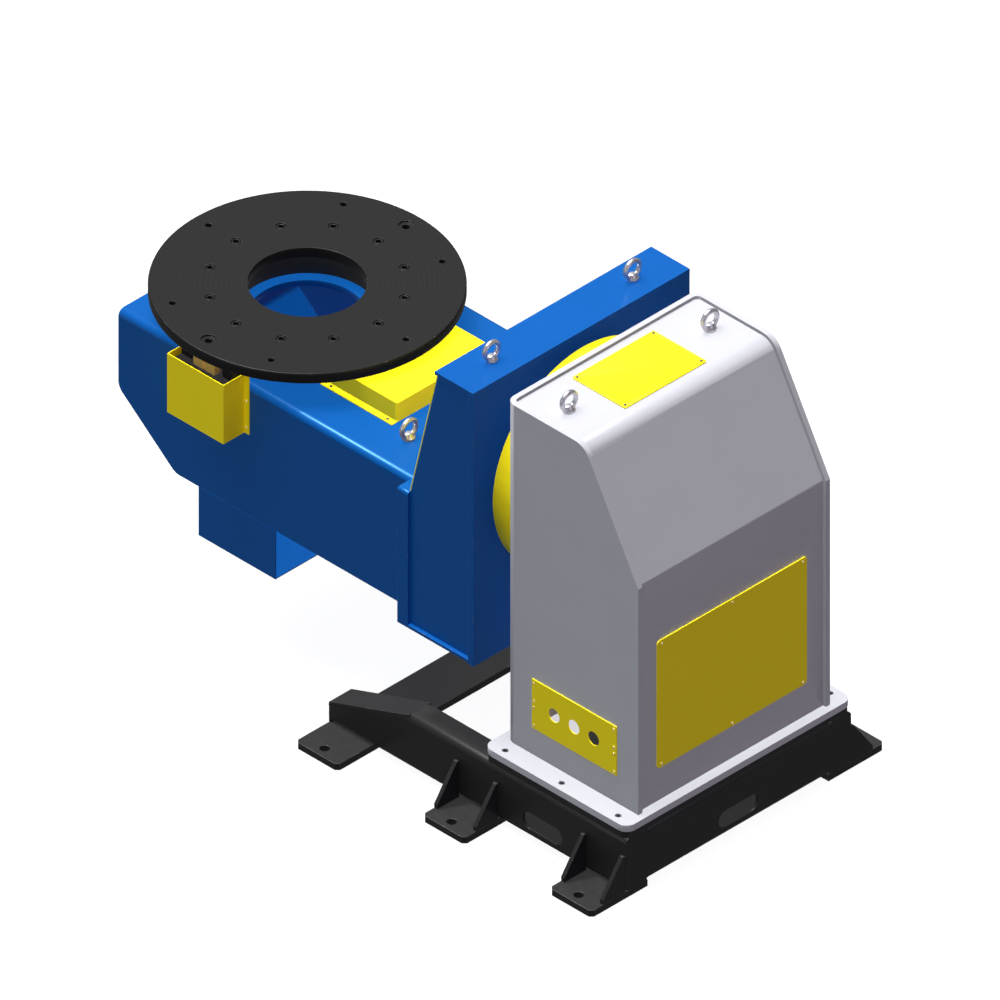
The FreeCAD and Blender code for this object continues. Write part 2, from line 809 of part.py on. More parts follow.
# Table
def table():
    body = new_body("table_plate")
    add_pad(body, "XY", "0", "table_thickness",
            circles=[(("0", "0"), "table_diameter"), (("0", "0"), "table_bore")])
    doc.recompute()
    disc = body.Tip
    rims = [f"Edge{number}" for number, edge in enumerate(disc.Shape.Edges, start=1)
            if abs(edge.Length - math.pi * measure("table_diameter")) < SMALL_STEP]
    rim = body.newObject("PartDesign::Chamfer", "Rim")
    rim.Base = (disc, rims)
    bind(rim, Size="table_edge")
    seat = "table_thickness - table_counterbore_depth"
    ring = ("outer_bolt_circle/2", "0")
    hole = add_pocket(body, "XY", "0", "table_thickness",
                      circles=[(ring, "ring_bolt_size + ring_bolt_clearance")])
    repeat_around(body, hole, "ring_bolt_count")
    sink = add_pocket(body, "XY", seat, "table_counterbore_depth",
                      circles=[(ring, "table_counterbore")])
    repeat_around(body, sink, "ring_bolt_count")
    fixture = add_pocket(body, "XY", "0", "table_thickness",
                         circles=[(("fixture_circle/2", "0"), "fixture_hole")])
    repeat_around(body, fixture, "fixture_count")
    sides = [("0", "fixture_circle/2"), ("0", "-fixture_circle/2")]
    add_pocket(body, "XY", "0", "table_thickness",
               circles=[(side, "locating_hole") for side in sides])
    add_pocket(body, "XY", "table_thickness - locating_recess_depth",
               "locating_recess_depth", circles=[(side, "locating_recess") for side in sides])
    in_table_frame(body, z="ring_height")
    finish_piece(body, "table_plate")
    bolt = socket_screw("TableBolt", "bolt_head_size", "bolt_head_height", "ring_bolt_size",
                        f"{seat} + bolt_engagement - bolt_tip_gap", "bolt_socket")
    ring_bolts("table_bolts", bolt, in_table_frame, "outer_bolt_circle",
               f"ring_height + {seat}", False)


# Arm: a bent shell, a bent belly plate, a trough below and a flange at the upright
def arm():
    half = "arm_width/2"
    inner = f"{half} - arm_plate"
    roof = "arm_top - arm_plate"
    seam = "arm_top - arm_edge_leg"
    nose_low = "arm_top - arm_nose_height"
    nose_end = "arm_end + arm_nose_length"
    table_x = "-table_offset"
    top = new_body("arm_top_plate")
    add_pad(top, "YZ", "arm_end", "flange_back - (arm_end)", [[
        (f"-{half}", seam), (f"-({inner})", seam), (f"-({inner})", roof), (inner, roof),
        (inner, seam), (half, seam), (half, "arm_top"), (f"-{half}", "arm_top")]])
    round_edges(top, "arm_edge_radius", *[{"y": side, "z": "arm_top"}
                                          for side in (half, f"-{half}")])
    eyes = [("arm_eye_x", side) for side in ("arm_eye_spread/2", "-arm_eye_spread/2")]
    holes = [((table_x, "0"), "cable_passage"),
             ((f"{table_x} + drive_distance", "0"), "reducer_pilot + reducer_pilot_gap")]
    holes += around((table_x, "0"), "inner_bolt_circle",
                    "ring_bolt_size + ring_bolt_clearance", "ring_bolt_count")
    holes += [(eye, "eye_thread + thread_clearance") for eye in eyes]
    holes += [(spot_xy, "screw_size + screw_clearance") for spot_xy in pinion_cover_screws()]
    add_pocket(top, "XY", roof, "arm_plate", circles=holes)
    finish_piece(top, "arm_top_plate")

    bends = [{"x": "arm_end", "z": nose_low}, {"x": nose_end, "z": "arm_bottom"}]
    for side, start in (("left", f"-({half})"), ("right", inner)):
        cheek = new_body(f"arm_side_{side}")
        screws = brush_box_screws() if side == "right" else []
        add_pad(cheek, "XZ", start, "arm_plate", [[
            ("arm_end", nose_low), (nose_end, "arm_bottom"), ("flange_back", "arm_bottom"),
            ("flange_back", seam), ("arm_end", seam)]],
            circles=[(screw, "screw_size + screw_clearance") for screw in screws])
        round_edges(cheek, "arm_bend_radius", *bends)
        finish_piece(cheek, f"arm_side_{side}")

    belly = new_body("arm_belly_plate")
    slope = "sqrt(arm_nose_length^2 + (arm_depth - arm_nose_height)^2)"
    run = f"belly_plate*(arm_depth - arm_nose_height)/({slope} + arm_nose_length)"
    rise = f"belly_plate*arm_nose_length/({slope} + arm_depth - arm_nose_height)"
    add_pad(belly, "XZ", f"-({inner})", f"2*({inner})", [[
        ("arm_end", roof), ("arm_end", nose_low), (nose_end, "arm_bottom"),
        ("flange_back", "arm_bottom"), ("flange_back", "arm_bottom + belly_plate"),
        (f"{nose_end} + {run}", "arm_bottom + belly_plate"),
        ("arm_end + belly_plate", f"{nose_low} + {rise}"), ("arm_end + belly_plate", roof)]])
    round_edges(belly, "arm_bend_radius", *bends)
    round_edges(belly, "arm_bend_radius - belly_plate",
                {"x": f"{nose_end} + {run}", "z": "arm_bottom + belly_plate"},
                {"x": "arm_end + belly_plate", "z": f"{nose_low} + {rise}"})
    opening_x = "-table_offset - trough_start + trough_length/2"
    add_pocket(belly, "XY", "arm_bottom", "belly_plate", [box(
        f"{opening_x} - belly_opening_length/2", f"{opening_x} + belly_opening_length/2",
        "-belly_opening_width/2", "belly_opening_width/2")])
    finish_piece(belly, "arm_belly_plate")

    trough = new_body("arm_trough")
    front = "-table_offset - trough_start"
    low = "arm_bottom - trough_depth"
    add_pad(trough, "XY", low, "trough_depth", [box(
        front, f"{front} + trough_length", f"-{half}", half)])
    add_pocket(trough, "XY", f"{low} + trough_plate", "trough_depth - trough_plate", [box(
        f"{front} + trough_plate", f"{front} + trough_length",
        f"-({half} - trough_plate)", f"{half} - trough_plate")])
    finish_piece(trough, "arm_trough")

    flange = new_body("arm_flange")
    side = "upright_width/2"
    add_pad(flange, "YZ", "flange_back", "flange_thickness", [
        box(f"-{side}", side, "arm_bottom", "flange_top"),
        box("-flange_opening_width/2", "flange_opening_width/2",
            "arm_bottom + flange_opening_rise",
            "arm_bottom + flange_opening_rise + flange_opening_height")])
    round_edges(flange, "flange_edge_radius",
                {"y": side, "z": "flange_top"}, {"y": f"-{side}", "z": "flange_top"})
    finish_piece(flange, "arm_flange")


# Upright: front plate on the tilt ring, two sides, lid, floor and a sloping back cover
def upright():
    side = "upright_width/2"
    front = new_body("upright_front_plate")
    holes = [(("0", "tilt_height"), "cable_passage")]
    holes += around(("0", "tilt_height"), "outer_bolt_circle",
                    "ring_bolt_size + ring_bolt_clearance", "ring_bolt_count")
    add_pad(front, "YZ", "upright_inside", "front_plate", [
        box(f"-{side}", side, "arm_bottom - front_plate_drop", "upright_lid")],
        circles=holes)
    finish_piece(front, "upright_front_plate")

    lean = "cover_sheet*sqrt(1 + ((flange_front - lid_corner)/(upright_lid - flange_top))^2)"
    for name, start in (("upright_side_left", "-side_plate_out"),
                        ("upright_side_right", "side_plate_out - side_plate")):
        plate = new_body(name)
        add_pad(plate, "XZ", start, "side_plate", [[
            ("flange_front", "arm_bottom + bottom_plate"), ("flange_front", "flange_top"),
            (f"lid_corner + {lean}", "upright_lid"), ("upright_inside", "upright_lid"),
            ("upright_inside", "arm_bottom + bottom_plate")]])
        finish_piece(plate, name)

    lid = new_body("upright_top_plate")
    eyes = [("top_eye_x", spread) for spread in ("top_eye_spread/2", "-top_eye_spread/2")]
    add_pad(lid, "XY", "upright_lid", "top_plate",
            [box("lid_corner", "upright_face", f"-{side}", side)],
            circles=[(eye, "eye_thread + thread_clearance") for eye in eyes])
    finish_piece(lid, "upright_top_plate")

    floor = new_body("upright_bottom_plate")
    add_pad(floor, "XY", "arm_bottom", "bottom_plate",
            [box("flange_front", "upright_inside", f"-{side}", side)])
    finish_piece(floor, "upright_bottom_plate")

    back = new_body("upright_back_cover")
    add_pad(back, "XZ", "-side_plate_out", "2*side_plate_out", [[
        ("flange_front", "flange_top"), (f"lid_corner + {lean}", "upright_lid"),
        ("lid_corner", "upright_lid"), (f"flange_front - ({lean})", "flange_top")]])
    finish_piece(back, "upright_back_cover")


def pinion_cover_screws():
    return [(f"-table_offset + {x}", sign + "pinion_screw_y")
            for x in ("pinion_screw_first", "pinion_screw_first + pinion_screw_pitch")
            for sign in ("", "-")]


def brush_box_screws():
    return [(f"-table_offset {side} brush_screw_x", z)
            for side in "+-" for z in ("brush_screw_first", "brush_screw_second")]


# Yellow covers on the arm
def arm_covers():
    cover = new_body("pinion_cover")
    start = "-table_offset + pinion_cover_start"
    end = "-table_offset + pinion_cover_reach"
    half = "pinion_cover_width/2"
    lip = f"{half} + pinion_cover_lip"
    top = "arm_top + pinion_cover_height"
    add_pad(cover, "XY", "arm_top", "pinion_cover_height", [box(start, end, f"-({half})", half)])
    add_pad(cover, "XY", "arm_top", "cover_sheet", [box(start, end, f"-({lip})", lip)])
    round_edges(cover, "pinion_cover_bend",
                {"x": end, "y": half}, {"x": end, "y": f"-({half})"})
    add_pocket(cover, "XY", "arm_top", "pinion_cover_height - cover_sheet", [box(
        start, f"{end} - cover_sheet", f"-({half} - cover_sheet)", f"{half} - cover_sheet")])
    add_pocket(cover, "XY", "arm_top + ring_step/2", "pinion_cover_height",
               circles=[(("-table_offset", "0"),
                         "2*(gear_radius + tooth_addendum + pinion_cover_gap)")])
    add_pocket(cover, "XY", "arm_top", "cover_sheet",
               circles=[(screw, "screw_size + screw_clearance")
                        for screw in pinion_cover_screws()])
    finish_piece(cover, "pinion_cover")


# Brush unit that returns the welding current from the turning table to the arm
def brush_unit():
    middle = "-table_offset"
    wall = "arm_width/2"
    out = f"{wall} + brush_box_depth"
    half = "brush_box_length/2"
    case = new_body("brush_box")
    add_pad(case, "XY", "brush_box_bottom", "brush_box_height", [[
        (f"{middle} - {half} - brush_box_lip", f"-({wall})"),
        (f"{middle} - {half} - brush_box_lip", f"-({wall} + cover_sheet)"),
        (f"{middle} - {half}", f"-({wall} + cover_sheet)"),
        (f"{middle} - {half}", f"-({out})"),
        (f"{middle} + {half}", f"-({out})"),
        (f"{middle} + {half}", f"-({wall} + cover_sheet)"),
        (f"{middle} + {half} + brush_box_lip", f"-({wall} + cover_sheet)"),
        (f"{middle} + {half} + brush_box_lip", f"-({wall})"),
        (f"{middle} + {half} - cover_sheet", f"-({wall})"),
        (f"{middle} + {half} - cover_sheet", f"-({out} - cover_sheet)"),
        (f"{middle} - {half} + cover_sheet", f"-({out} - cover_sheet)"),
        (f"{middle} - {half} + cover_sheet", f"-({wall})")]])
    add_pocket(case, "XZ", wall, "cover_sheet",
               circles=[(screw, "screw_size + screw_clearance")
                        for screw in brush_box_screws()])
    add_pad(case, "XY", "brush_box_bottom", "cover_sheet",
            [box(f"{middle} - {half}", f"{middle} + {half}", f"-({out})", f"-({wall})")])
    finish_piece(case, "brush_box")

    holder = new_body("brush_holder")
    line = f"{wall} + brush_offset"
    span = "holder_length/2"
    add_pad(holder, "XY", "holder_bottom", "holder_height", [box(
        f"{middle} - {span}", f"{middle} + {span}",
        f"-({line} + brush_width/2 + holder_wall)", f"-({wall})")])
    for left, right in ((f"{middle} - {span}", f"{middle} - {span} + holder_post_length"),
                        (f"{middle} + {span} - holder_post_length", f"{middle} + {span}")):
        add_pad(holder, "XY", "holder_top", "holder_post_rise",
                [box(left, right, f"-({line})", f"-({wall} + brush_clearance)")])
    cells = []
    for sign in ("-", "+"):
        x = f"{middle} {sign} brush_pitch/2"
        reach = "brush_length/2 + brush_clearance"
        depth = "brush_width/2 + brush_clearance"
        cells.append(box(f"{x} - ({reach})", f"{x} + {reach}",
                         f"-({line} + {depth})", f"-({line} - ({depth}))"))
    floor = "holder_bottom + holder_wall"
    add_pocket(holder, "XY", floor, f"holder_top - ({floor})", cells)
    finish_piece(holder, "brush_holder")

    top = "tilt_height - brush_air"
    foot = f"{top} - brush_height"
    for name, sign in (("front", "-"), ("rear", "+")):
        x = f"{middle} {sign} brush_pitch/2"
        brush = new_body(f"brush_{name}")
        add_pad(brush, "XY", foot, "brush_height", [box(
            f"{x} - brush_length/2", f"{x} + brush_length/2",
            f"-({line} + brush_width/2)", f"-({line} - brush_width/2)")])
        finish_piece(brush, f"brush_{name}")
        spring = new_body(f"brush_spring_{name}")
        core = f"{foot} - spring_radius"
        add_pad(spring, "XZ", f"{line} - spring_width/2", "spring_width",
                circles=[((x, core), "2*spring_radius"),
                         ((x, core), "2*spring_radius - 4*spring_strip")])
        add_pad(spring, "XZ", f"{line} - spring_width/2", "spring_width", [box(
            f"{x} + spring_radius - spring_strip", f"{x} + spring_radius", floor, core)])
        finish_piece(spring, f"brush_spring_{name}")


# Guard round the tilt ring, in two bent halves that meet above and below the ring
def tilt_guard():
    body = new_body("tilt_guard_left")
    start = "upright_face + guard_gap"
    add_guard_profile(body, "Pad", start, "headstock_front", "guard_radius",
                      "guard_lobe_radius")
    add_guard_profile(body, "Pocket", start, "headstock_front - cover_sheet",
                      "guard_radius - cover_sheet", "guard_lobe_radius - cover_sheet")
    add_guard_profile(body, "Pocket", "headstock_front - cover_sheet", "headstock_front",
                      "guard_radius - guard_lip", "guard_lobe_radius - guard_lobe_lip")
    finish_piece(body, "tilt_guard_left")
    mirrored = doc.addObject("Part::Mirroring", "tilt_guard_right")
    mirrored.Source = body
    mirrored.Normal = FreeCAD.Vector(0, 1, 0)
    finish_piece(mirrored, "tilt_guard_right")


def add_guard_profile(body, kind, start, end, radius, lobe):
    """Left half of a round drum with a smaller lobe below it, joined by a tangent."""
    sketch = new_sketch(body, "YZ", start if kind == "Pad" else end)
    lean = math.acos((measure(radius) - measure(lobe)) / measure("drive_distance"))
    turn = lean - math.pi / 2
    drum = Part.Circle(spot(("0", "tilt_height")), FreeCAD.Vector(0, 0, 1), measure(radius))
    nose = Part.Circle(spot(("0", "tilt_height - drive_distance")),
                       FreeCAD.Vector(0, 0, 1), measure(lobe))
    shapes = [Part.ArcOfCircle(nose, -math.pi / 2, turn),
              Part.LineSegment(nose.value(turn), drum.value(turn)),
              Part.ArcOfCircle(drum, turn, math.pi / 2),
              Part.LineSegment(drum.value(math.pi / 2), nose.value(-math.pi / 2))]
    lower, side, upper, seam = [sketch.addGeometry(shape) for shape in shapes]
    hold_point(sketch, lower, 3, ("0", "tilt_height - drive_distance"))
    hold_point(sketch, upper, 3, ("0", "tilt_height"))
    hold(sketch, "Radius", lobe, lower)
    hold(sketch, "Radius", radius, upper)
    sketch.addConstraint(Sketcher.Constraint("Tangent", lower, 2, side, 1))
    sketch.addConstraint(Sketcher.Constraint("Tangent", side, 2, upper, 1))
    sketch.addConstraint(Sketcher.Constraint("Coincident", upper, 2, seam, 1))
    sketch.addConstraint(Sketcher.Constraint("Coincident", seam, 2, lower, 1))
    sketch.addConstraint(Sketcher.Constraint("Vertical", seam))
    hold(sketch, "DistanceX", "guard_seam/2", -1, 1, seam, 1)
    feature = body.newObject("PartDesign::" + kind, kind)
    feature.Profile = sketch
    bind(feature, Length=f"{end} - ({start})")
    return feature


# Headstock
def headstock():
    half = "headstock_width/2"
    inner = f"{half} - headstock_plate"
    height = "headstock_top - headstock_foot"
    frame = new_body("headstock_frame")
    add_pad(frame, "XY", "headstock_foot", height, [[
        ("headstock_front", f"-{half}"), ("headstock_rear", f"-{half}"),
        ("headstock_rear", f"-({inner})"), ("headstock_inside", f"-({inner})"),
        ("headstock_inside", inner), ("headstock_rear", inner),
        ("headstock_rear", half), ("headstock_front", half)]])
    round_edges(frame, "headstock_corner",
                {"x": "headstock_front", "y": half}, {"x": "headstock_front", "y": f"-{half}"})
    round_edges(frame, "headstock_corner - headstock_plate",
                {"x": "headstock_inside", "y": inner},
                {"x": "headstock_inside", "y": f"-({inner})"})
    knee = "headstock_front + headstock_top_depth"
    add_pocket(frame, "XZ", f"-{half}", "headstock_width", [[
        (knee, "headstock_top"), ("headstock_rear", "headstock_knee"),
        ("headstock_rear", "headstock_top")]])
    round_edges(frame, "headstock_top_radius", {"x": knee, "z": "headstock_top"})
    holes = [(("0", "tilt_height"), "cable_passage"),
             (("0", "tilt_height - drive_distance"), "reducer_pilot + reducer_pilot_gap")]
    holes += around(("0", "tilt_height"), "inner_bolt_circle",
                    "ring_bolt_size + ring_bolt_clearance", "ring_bolt_count")
    add_pocket(frame, "YZ", "headstock_front", "headstock_plate", circles=holes)
    add_pocket(frame, "XZ", inner, "headstock_plate", [box(
        "panel_x - panel_length/2 + cover_overlap", "panel_x + panel_length/2 - cover_overlap",
        "panel_z - panel_height/2 + cover_overlap", "panel_z + panel_height/2 - cover_overlap")],
        circles=[(screw, "screw_size + screw_clearance") for screw in panel_screws()])
    finish_piece(frame, "headstock_frame")

    skin = new_body("headstock_cover_sheet")
    slope = "sqrt((headstock_depth - headstock_top_depth)^2 + headstock_slant_drop^2)"
    run = "(headstock_depth - headstock_top_depth)"
    across = f"({slope} - {run})/headstock_slant_drop"
    below = f"({slope} - headstock_slant_drop)/{run}"

    def skin_line(inset):
        return [(f"{knee} - ({inset})*{across}", f"headstock_top - ({inset})"),
                (f"headstock_rear - ({inset})", f"headstock_knee - ({inset})*{below}")]

    outside = skin_line("cover_inset")
    inside = skin_line("cover_inset + cover_plate")
    add_pad(skin, "XZ", f"-({inner})", f"2*({inner})", [[
        ("headstock_inside", "cover_top"), outside[0], outside[1],
        ("cover_rear", "headstock_foot"), ("cover_rear - cover_plate", "headstock_foot"),
        inside[1], inside[0], ("headstock_inside", "cover_top - cover_plate")]])
    round_edges(skin, "headstock_corner - headstock_plate + headstock_corner_gap",
                {"x": "headstock_inside", "y": inner},
                {"x": "headstock_inside", "y": f"-({inner})"})
    bend = "headstock_top_radius - cover_inset"
    round_edges(skin, bend, {"x": outside[0][0], "z": outside[0][1]})
    round_edges(skin, f"{bend} - cover_plate", {"x": inside[0][0], "z": inside[0][1]})
    round_edges(skin, "rear_bend_radius", {"x": outside[1][0], "z": outside[1][1]})
    round_edges(skin, "rear_bend_radius - cover_plate",
                {"x": inside[1][0], "z": inside[1][1]})
    eyes = [("top_cover_x", side) for side in ("top_eye_spread/2", "-top_eye_spread/2")]
    add_pocket(skin, "XY", "cover_top - cover_plate", "cover_plate", [box(
        "top_cover_x - top_cover_depth/2 + cover_overlap",
        "top_cover_x + top_cover_depth/2 - cover_overlap",
        "-top_cover_width/2 + cover_overlap", "top_cover_width/2 - cover_overlap")],
        circles=[(screw, "screw_size + screw_clearance") for screw in top_cover_screws()]
        + [(eye, "eye_thread + thread_clearance") for eye in eyes])
    rear = "headstock_foot + rear_cover_rise"
    add_pocket(skin, "YZ", "cover_rear - cover_plate", "cover_plate", [box(
        "-rear_cover_width/2 + cover_overlap", "rear_cover_width/2 - cover_overlap",
        f"{rear} + cover_overlap", f"{rear} + rear_cover_height - cover_overlap")],
        circles=[(screw, "screw_size + screw_clearance") for screw in rear_cover_screws()])
    finish_piece(skin, "headstock_cover_sheet")


def top_cover_screws():
    x = "top_cover_depth/2 - cover_margin"
    y = "top_cover_width/2 - cover_margin"
    return [(f"top_cover_x {sign_x} ({x})", f"{sign_y}({y})")
            for sign_x in "+-" for sign_y in ("", "-")]


def rear_cover_screws():
    middle = "headstock_foot + rear_cover_rise + rear_cover_height/2"
    y = "rear_cover_width/2 - rear_cover_margin"
    return [(across, f"{middle} {sign} (rear_cover_height/2 - cover_margin)")
            for across in (f"-({y})", "0", y) for sign in "+-"]


def panel_screws():
    x = "panel_length/2 - panel_margin"
    heights = [f"panel_z {sign} {rise}" for sign in "+-"
               for rise in ("(panel_height/2 - panel_screw_edge)", "panel_middle_pitch/2")]
    return [(f"panel_x {sign} ({x})", z) for sign in "+-" for z in heights]


# Yellow covers and the gland panel on the headstock
def headstock_covers():
    top = new_body("top_cover")
    half_x, half_y = "top_cover_depth/2", "top_cover_width/2"
    add_pad(top, "XY", "cover_top", "cover_sheet", [box(
        f"top_cover_x - {half_x}", f"top_cover_x + {half_x}", f"-{half_y}", half_y)],
        circles=[(screw, "screw_size + screw_clearance") for screw in top_cover_screws()])
    round_edges(top, "top_cover_corner", *[
        {"x": f"top_cover_x {sign_x} {half_x}", "y": f"{sign_y}{half_y}"}
        for sign_x in "+-" for sign_y in ("", "-")])
    finish_piece(top, "top_cover")

    rear = new_body("rear_cover")
    low = "headstock_foot + rear_cover_rise"
    high = f"{low} + rear_cover_height"
    half = "rear_cover_width/2"
    add_pad(rear, "YZ", "cover_rear", "cover_sheet", [box(f"-{half}", half, low, high)],
            circles=[(screw, "screw_size + screw_clearance") for screw in rear_cover_screws()])
    round_edges(rear, "rear_cover_corner", *[
        {"y": f"{sign}{half}", "z": z} for sign in ("", "-") for z in (low, high)])
    finish_piece(rear, "rear_cover")

    panel = new_body("gland_panel")
    holes = [((f"panel_x - gland_shift {shift}", "panel_z"), "gland_hole")
             for shift in ("- gland_pitch", "", "+ gland_pitch")]
    holes += [(screw, "screw_size + screw_clearance") for screw in panel_screws()]
    add_pad(panel, "XZ", "headstock_width/2", "cover_sheet", [box(
        "panel_x - panel_length/2", "panel_x + panel_length/2",
        "panel_z - panel_height/2", "panel_z + panel_height/2")], circles=holes)
    finish_piece(panel, "gland_panel")


def small_screws():
    screw = socket_screw("CoverScrew", "screw_head", "screw_head_height", "screw_size",
                         "screw_length", "screw_socket")
    to_right = (FreeCAD.Vector(1, 0, 0), 90)
    to_rear = (FreeCAD.Vector(0, 1, 0), 90)
    on_headstock = [(x, y, "cover_top + cover_sheet", UPRIGHT) for x, y in top_cover_screws()]
    on_headstock += [("cover_rear + cover_sheet", y, z, to_rear)
                     for y, z in rear_cover_screws()]
    on_headstock += [(x, "-headstock_width/2 - cover_sheet", z, to_right)
                     for x, z in panel_screws()]
    copies("headstock_cover_screws", screw, on_headstock)
    on_arm = [(x, y, "arm_top + cover_sheet", UPRIGHT) for x, y in pinion_cover_screws()]
    on_arm += [(x, "-arm_width/2 - cover_sheet", z, to_right) for x, z in brush_box_screws()]
    copies("arm_cover_screws", screw, on_arm)


def lifting_eyes():
    eye = lifting_eye()
    on_arm = [("arm_eye_x", side, "arm_top", UPRIGHT)
              for side in ("arm_eye_spread/2", "-arm_eye_spread/2")]
    on_arm += [("top_eye_x", side, "upright_top", UPRIGHT)
               for side in ("top_eye_spread/2", "-top_eye_spread/2")]
    copies("arm_lifting_eyes", eye, on_arm)
    turned = (FreeCAD.Vector(0, 0, 1), measure("headstock_eye_turn"))
    copies("headstock_lifting_eyes", eye, [
        ("top_cover_x", side, "cover_top", turned)
        for side in ("top_eye_spread/2", "-top_eye_spread/2")])


# Floor frame
def beam_section(left, right):
    """Outer and inner outline of a rectangular tube standing on the feet."""
    return [box(left, right, "foot_thickness", "beam_top"),
            box(f"{left} + beam_wall", f"{right} - beam_wall",
                "foot_thickness + beam_wall", "beam_top - beam_wall")]


def side_beams():
    half = "frame_width/2"
    body_length = "beam_length - 2*beam_wall"
    for name, left, right in (("left", f"{half} - beam_width", half),
                              ("right", f"-{half}", f"-({half} - beam_width)")):
        beam = new_body(f"side_beam_{name}")
        start = f"-({body_length})/2"
        add_pad(beam, "YZ", start, body_length, beam_section(left, right))
        round_edges(beam, "beam_corner", *[{"y": y, "z": z} for y in (left, right)
                                           for z in ("foot_thickness", "beam_top")])
        nose = "-beam_length/2"
        sink = "beam_wall*sqrt(1 + ((beam_height - nose_height)/nose_length)^2)"
        low = f"foot_thickness + nose_height - {sink}"
        add_pocket(beam, "XZ", f"-({right})", "beam_width", [[
            (nose, low), (f"{nose} + nose_length", f"beam_top - {sink}"),
            (f"{nose} + nose_length", "beam_top"), (nose, "beam_top")]])
        add_pocket(beam, "XZ", f"-({right})", "beam_width", slots=[(
            ("beam_slot_place", "foot_thickness + slot_rise"), "slot_length", "slot_height")])
        finish_piece(beam, f"side_beam_{name}")


def cross_tubes():
    inner = "frame_width/2 - beam_width"
    rear = "beam_length/2"
    for name, left, right in (("rear", f"{rear} - beam_width", rear),
                              ("middle", "pad_front", "pad_front + beam_width")):
        tube = new_body(f"{name}_cross_tube")
        add_pad(tube, "XZ", f"-({inner})", f"2*({inner})", beam_section(left, right))
        round_edges(tube, "beam_corner", *[{"x": x, "z": z} for x in (left, right)
                                           for z in ("foot_thickness", "beam_top")])
        if name == "rear":
            add_pocket(tube, "YZ", left, "beam_width", slots=[(
                ("0", "foot_thickness + slot_rise"), "slot_length", "slot_height")])
        finish_piece(tube, f"{name}_cross_tube")


def beam_caps():
    """Plates that close the sloping noses and the rear ends of the side beams."""
    nose = "-beam_length/2"
    sink = "beam_wall*sqrt(1 + ((beam_height - nose_height)/nose_length)^2)"
    high = "foot_thickness + nose_height"
    slope = new_body("NosePlate")
    add_pad(slope, "XZ", "-beam_width/2", "beam_width", [[
        (nose, f"{high} - {sink}"), (nose, high), (f"{nose} + nose_length", "beam_top"),
        (f"{nose} + nose_length", f"beam_top - {sink}")]])
    front = new_body("NoseCap")
    add_pad(front, "YZ", nose, "beam_wall", [box(
        "-beam_width/2", "beam_width/2", "foot_thickness", f"{high} - {sink}")])
    rear = new_body("RearCap")
    add_pad(rear, "YZ", "beam_length/2 - beam_wall", "beam_wall", [box(
        "-beam_width/2", "beam_width/2", "foot_thickness", "beam_top")])
    round_edges(rear, "beam_corner", *[{"y": f"{sign}beam_width/2", "z": z}
                                       for sign in ("", "-")
                                       for z in ("foot_thickness", "beam_top")])
    links = []
    for source in (slope, front, rear):
        for sign in ("", "-"):
            link = doc.addObject("App::Link", source.Name + "Copy")
            link.LinkedObject = source
            links.append(place(link, y=f"{sign}(frame_width/2 - beam_width/2)"))
    group = doc.addObject("Part::Compound", "beam_end_caps")
    group.Links = links
    finish_piece(group, "beam_end_caps")


def feet():
    inner = "frame_width/2 - beam_width"
    bar = new_body("front_floor_bar")
    left, right = "-foot_pitch - foot_length/2", "-foot_pitch + foot_length/2"
    add_pad(bar, "XY", "0", "foot_thickness", [box(left, right, "-foot_out", "foot_out")],
            circles=[(("-foot_pitch", sign + "anchor_y"), "anchor_hole")
                     for sign in ("", "-")])
    cut_corners(bar, "foot_chamfer", *[{"x": x, "y": sign + "foot_out"}
                                       for x in (left, right) for sign in ("", "-")])
    finish_piece(bar, "front_floor_bar")
    for place_name, middle in (("middle", "0"), ("rear", "foot_pitch")):
        left, right = f"{middle} - foot_length/2", f"{middle} + foot_length/2"
        for side, sign in (("left", ""), ("right", "-")):
            foot = new_body(f"foot_{place_name}_{side}")
            low, high = (inner, "foot_out") if side == "left" else ("-foot_out", f"-({inner})")
            add_pad(foot, "XY", "0", "foot_thickness", [box(left, right, low, high)],
                    circles=[((middle, sign + "anchor_y"), "anchor_hole")])
            cut_corners(foot, "foot_chamfer", *[{"x": x, "y": sign + "foot_out"}
                                                for x in (left, right)])
            finish_piece(foot, f"foot_{place_name}_{side}")

    gusset = new_body("Gusset")
    high = "foot_thickness + gusset_height"
    out = "frame_width/2"
    add_pad(gusset, "YZ", "-gusset_plate/2", "gusset_plate", [[
        (out, "foot_thickness"), (f"{out} + gusset_length", "foot_thickness"),
        (f"{out} + gusset_length", "foot_thickness + gusset_toe"),
        (f"{out} + gusset_flat", high), (out, high)]])
    edge = "(foot_length - gusset_plate)/2"
    mirrored = (FreeCAD.Vector(0, 0, 1), 180)
    spots = []
    for middle in ("0", "foot_pitch"):
        for sign in "+-":
            for turn in (UPRIGHT, mirrored):
                spots.append((f"{middle} {sign} {edge}", "0", "0", turn))
    copies("foot_gussets", gusset, spots)


def base_bolt_places():
    x = "base_plate_front + base_plate_length/2"
    y = "base_plate_width/2 - base_bolt_edge"
    return [(f"{x} {shift}", sign + f"({y})")
            for shift in ("- base_bolt_pitch", "", "+ base_bolt_pitch") for sign in ("", "-")]


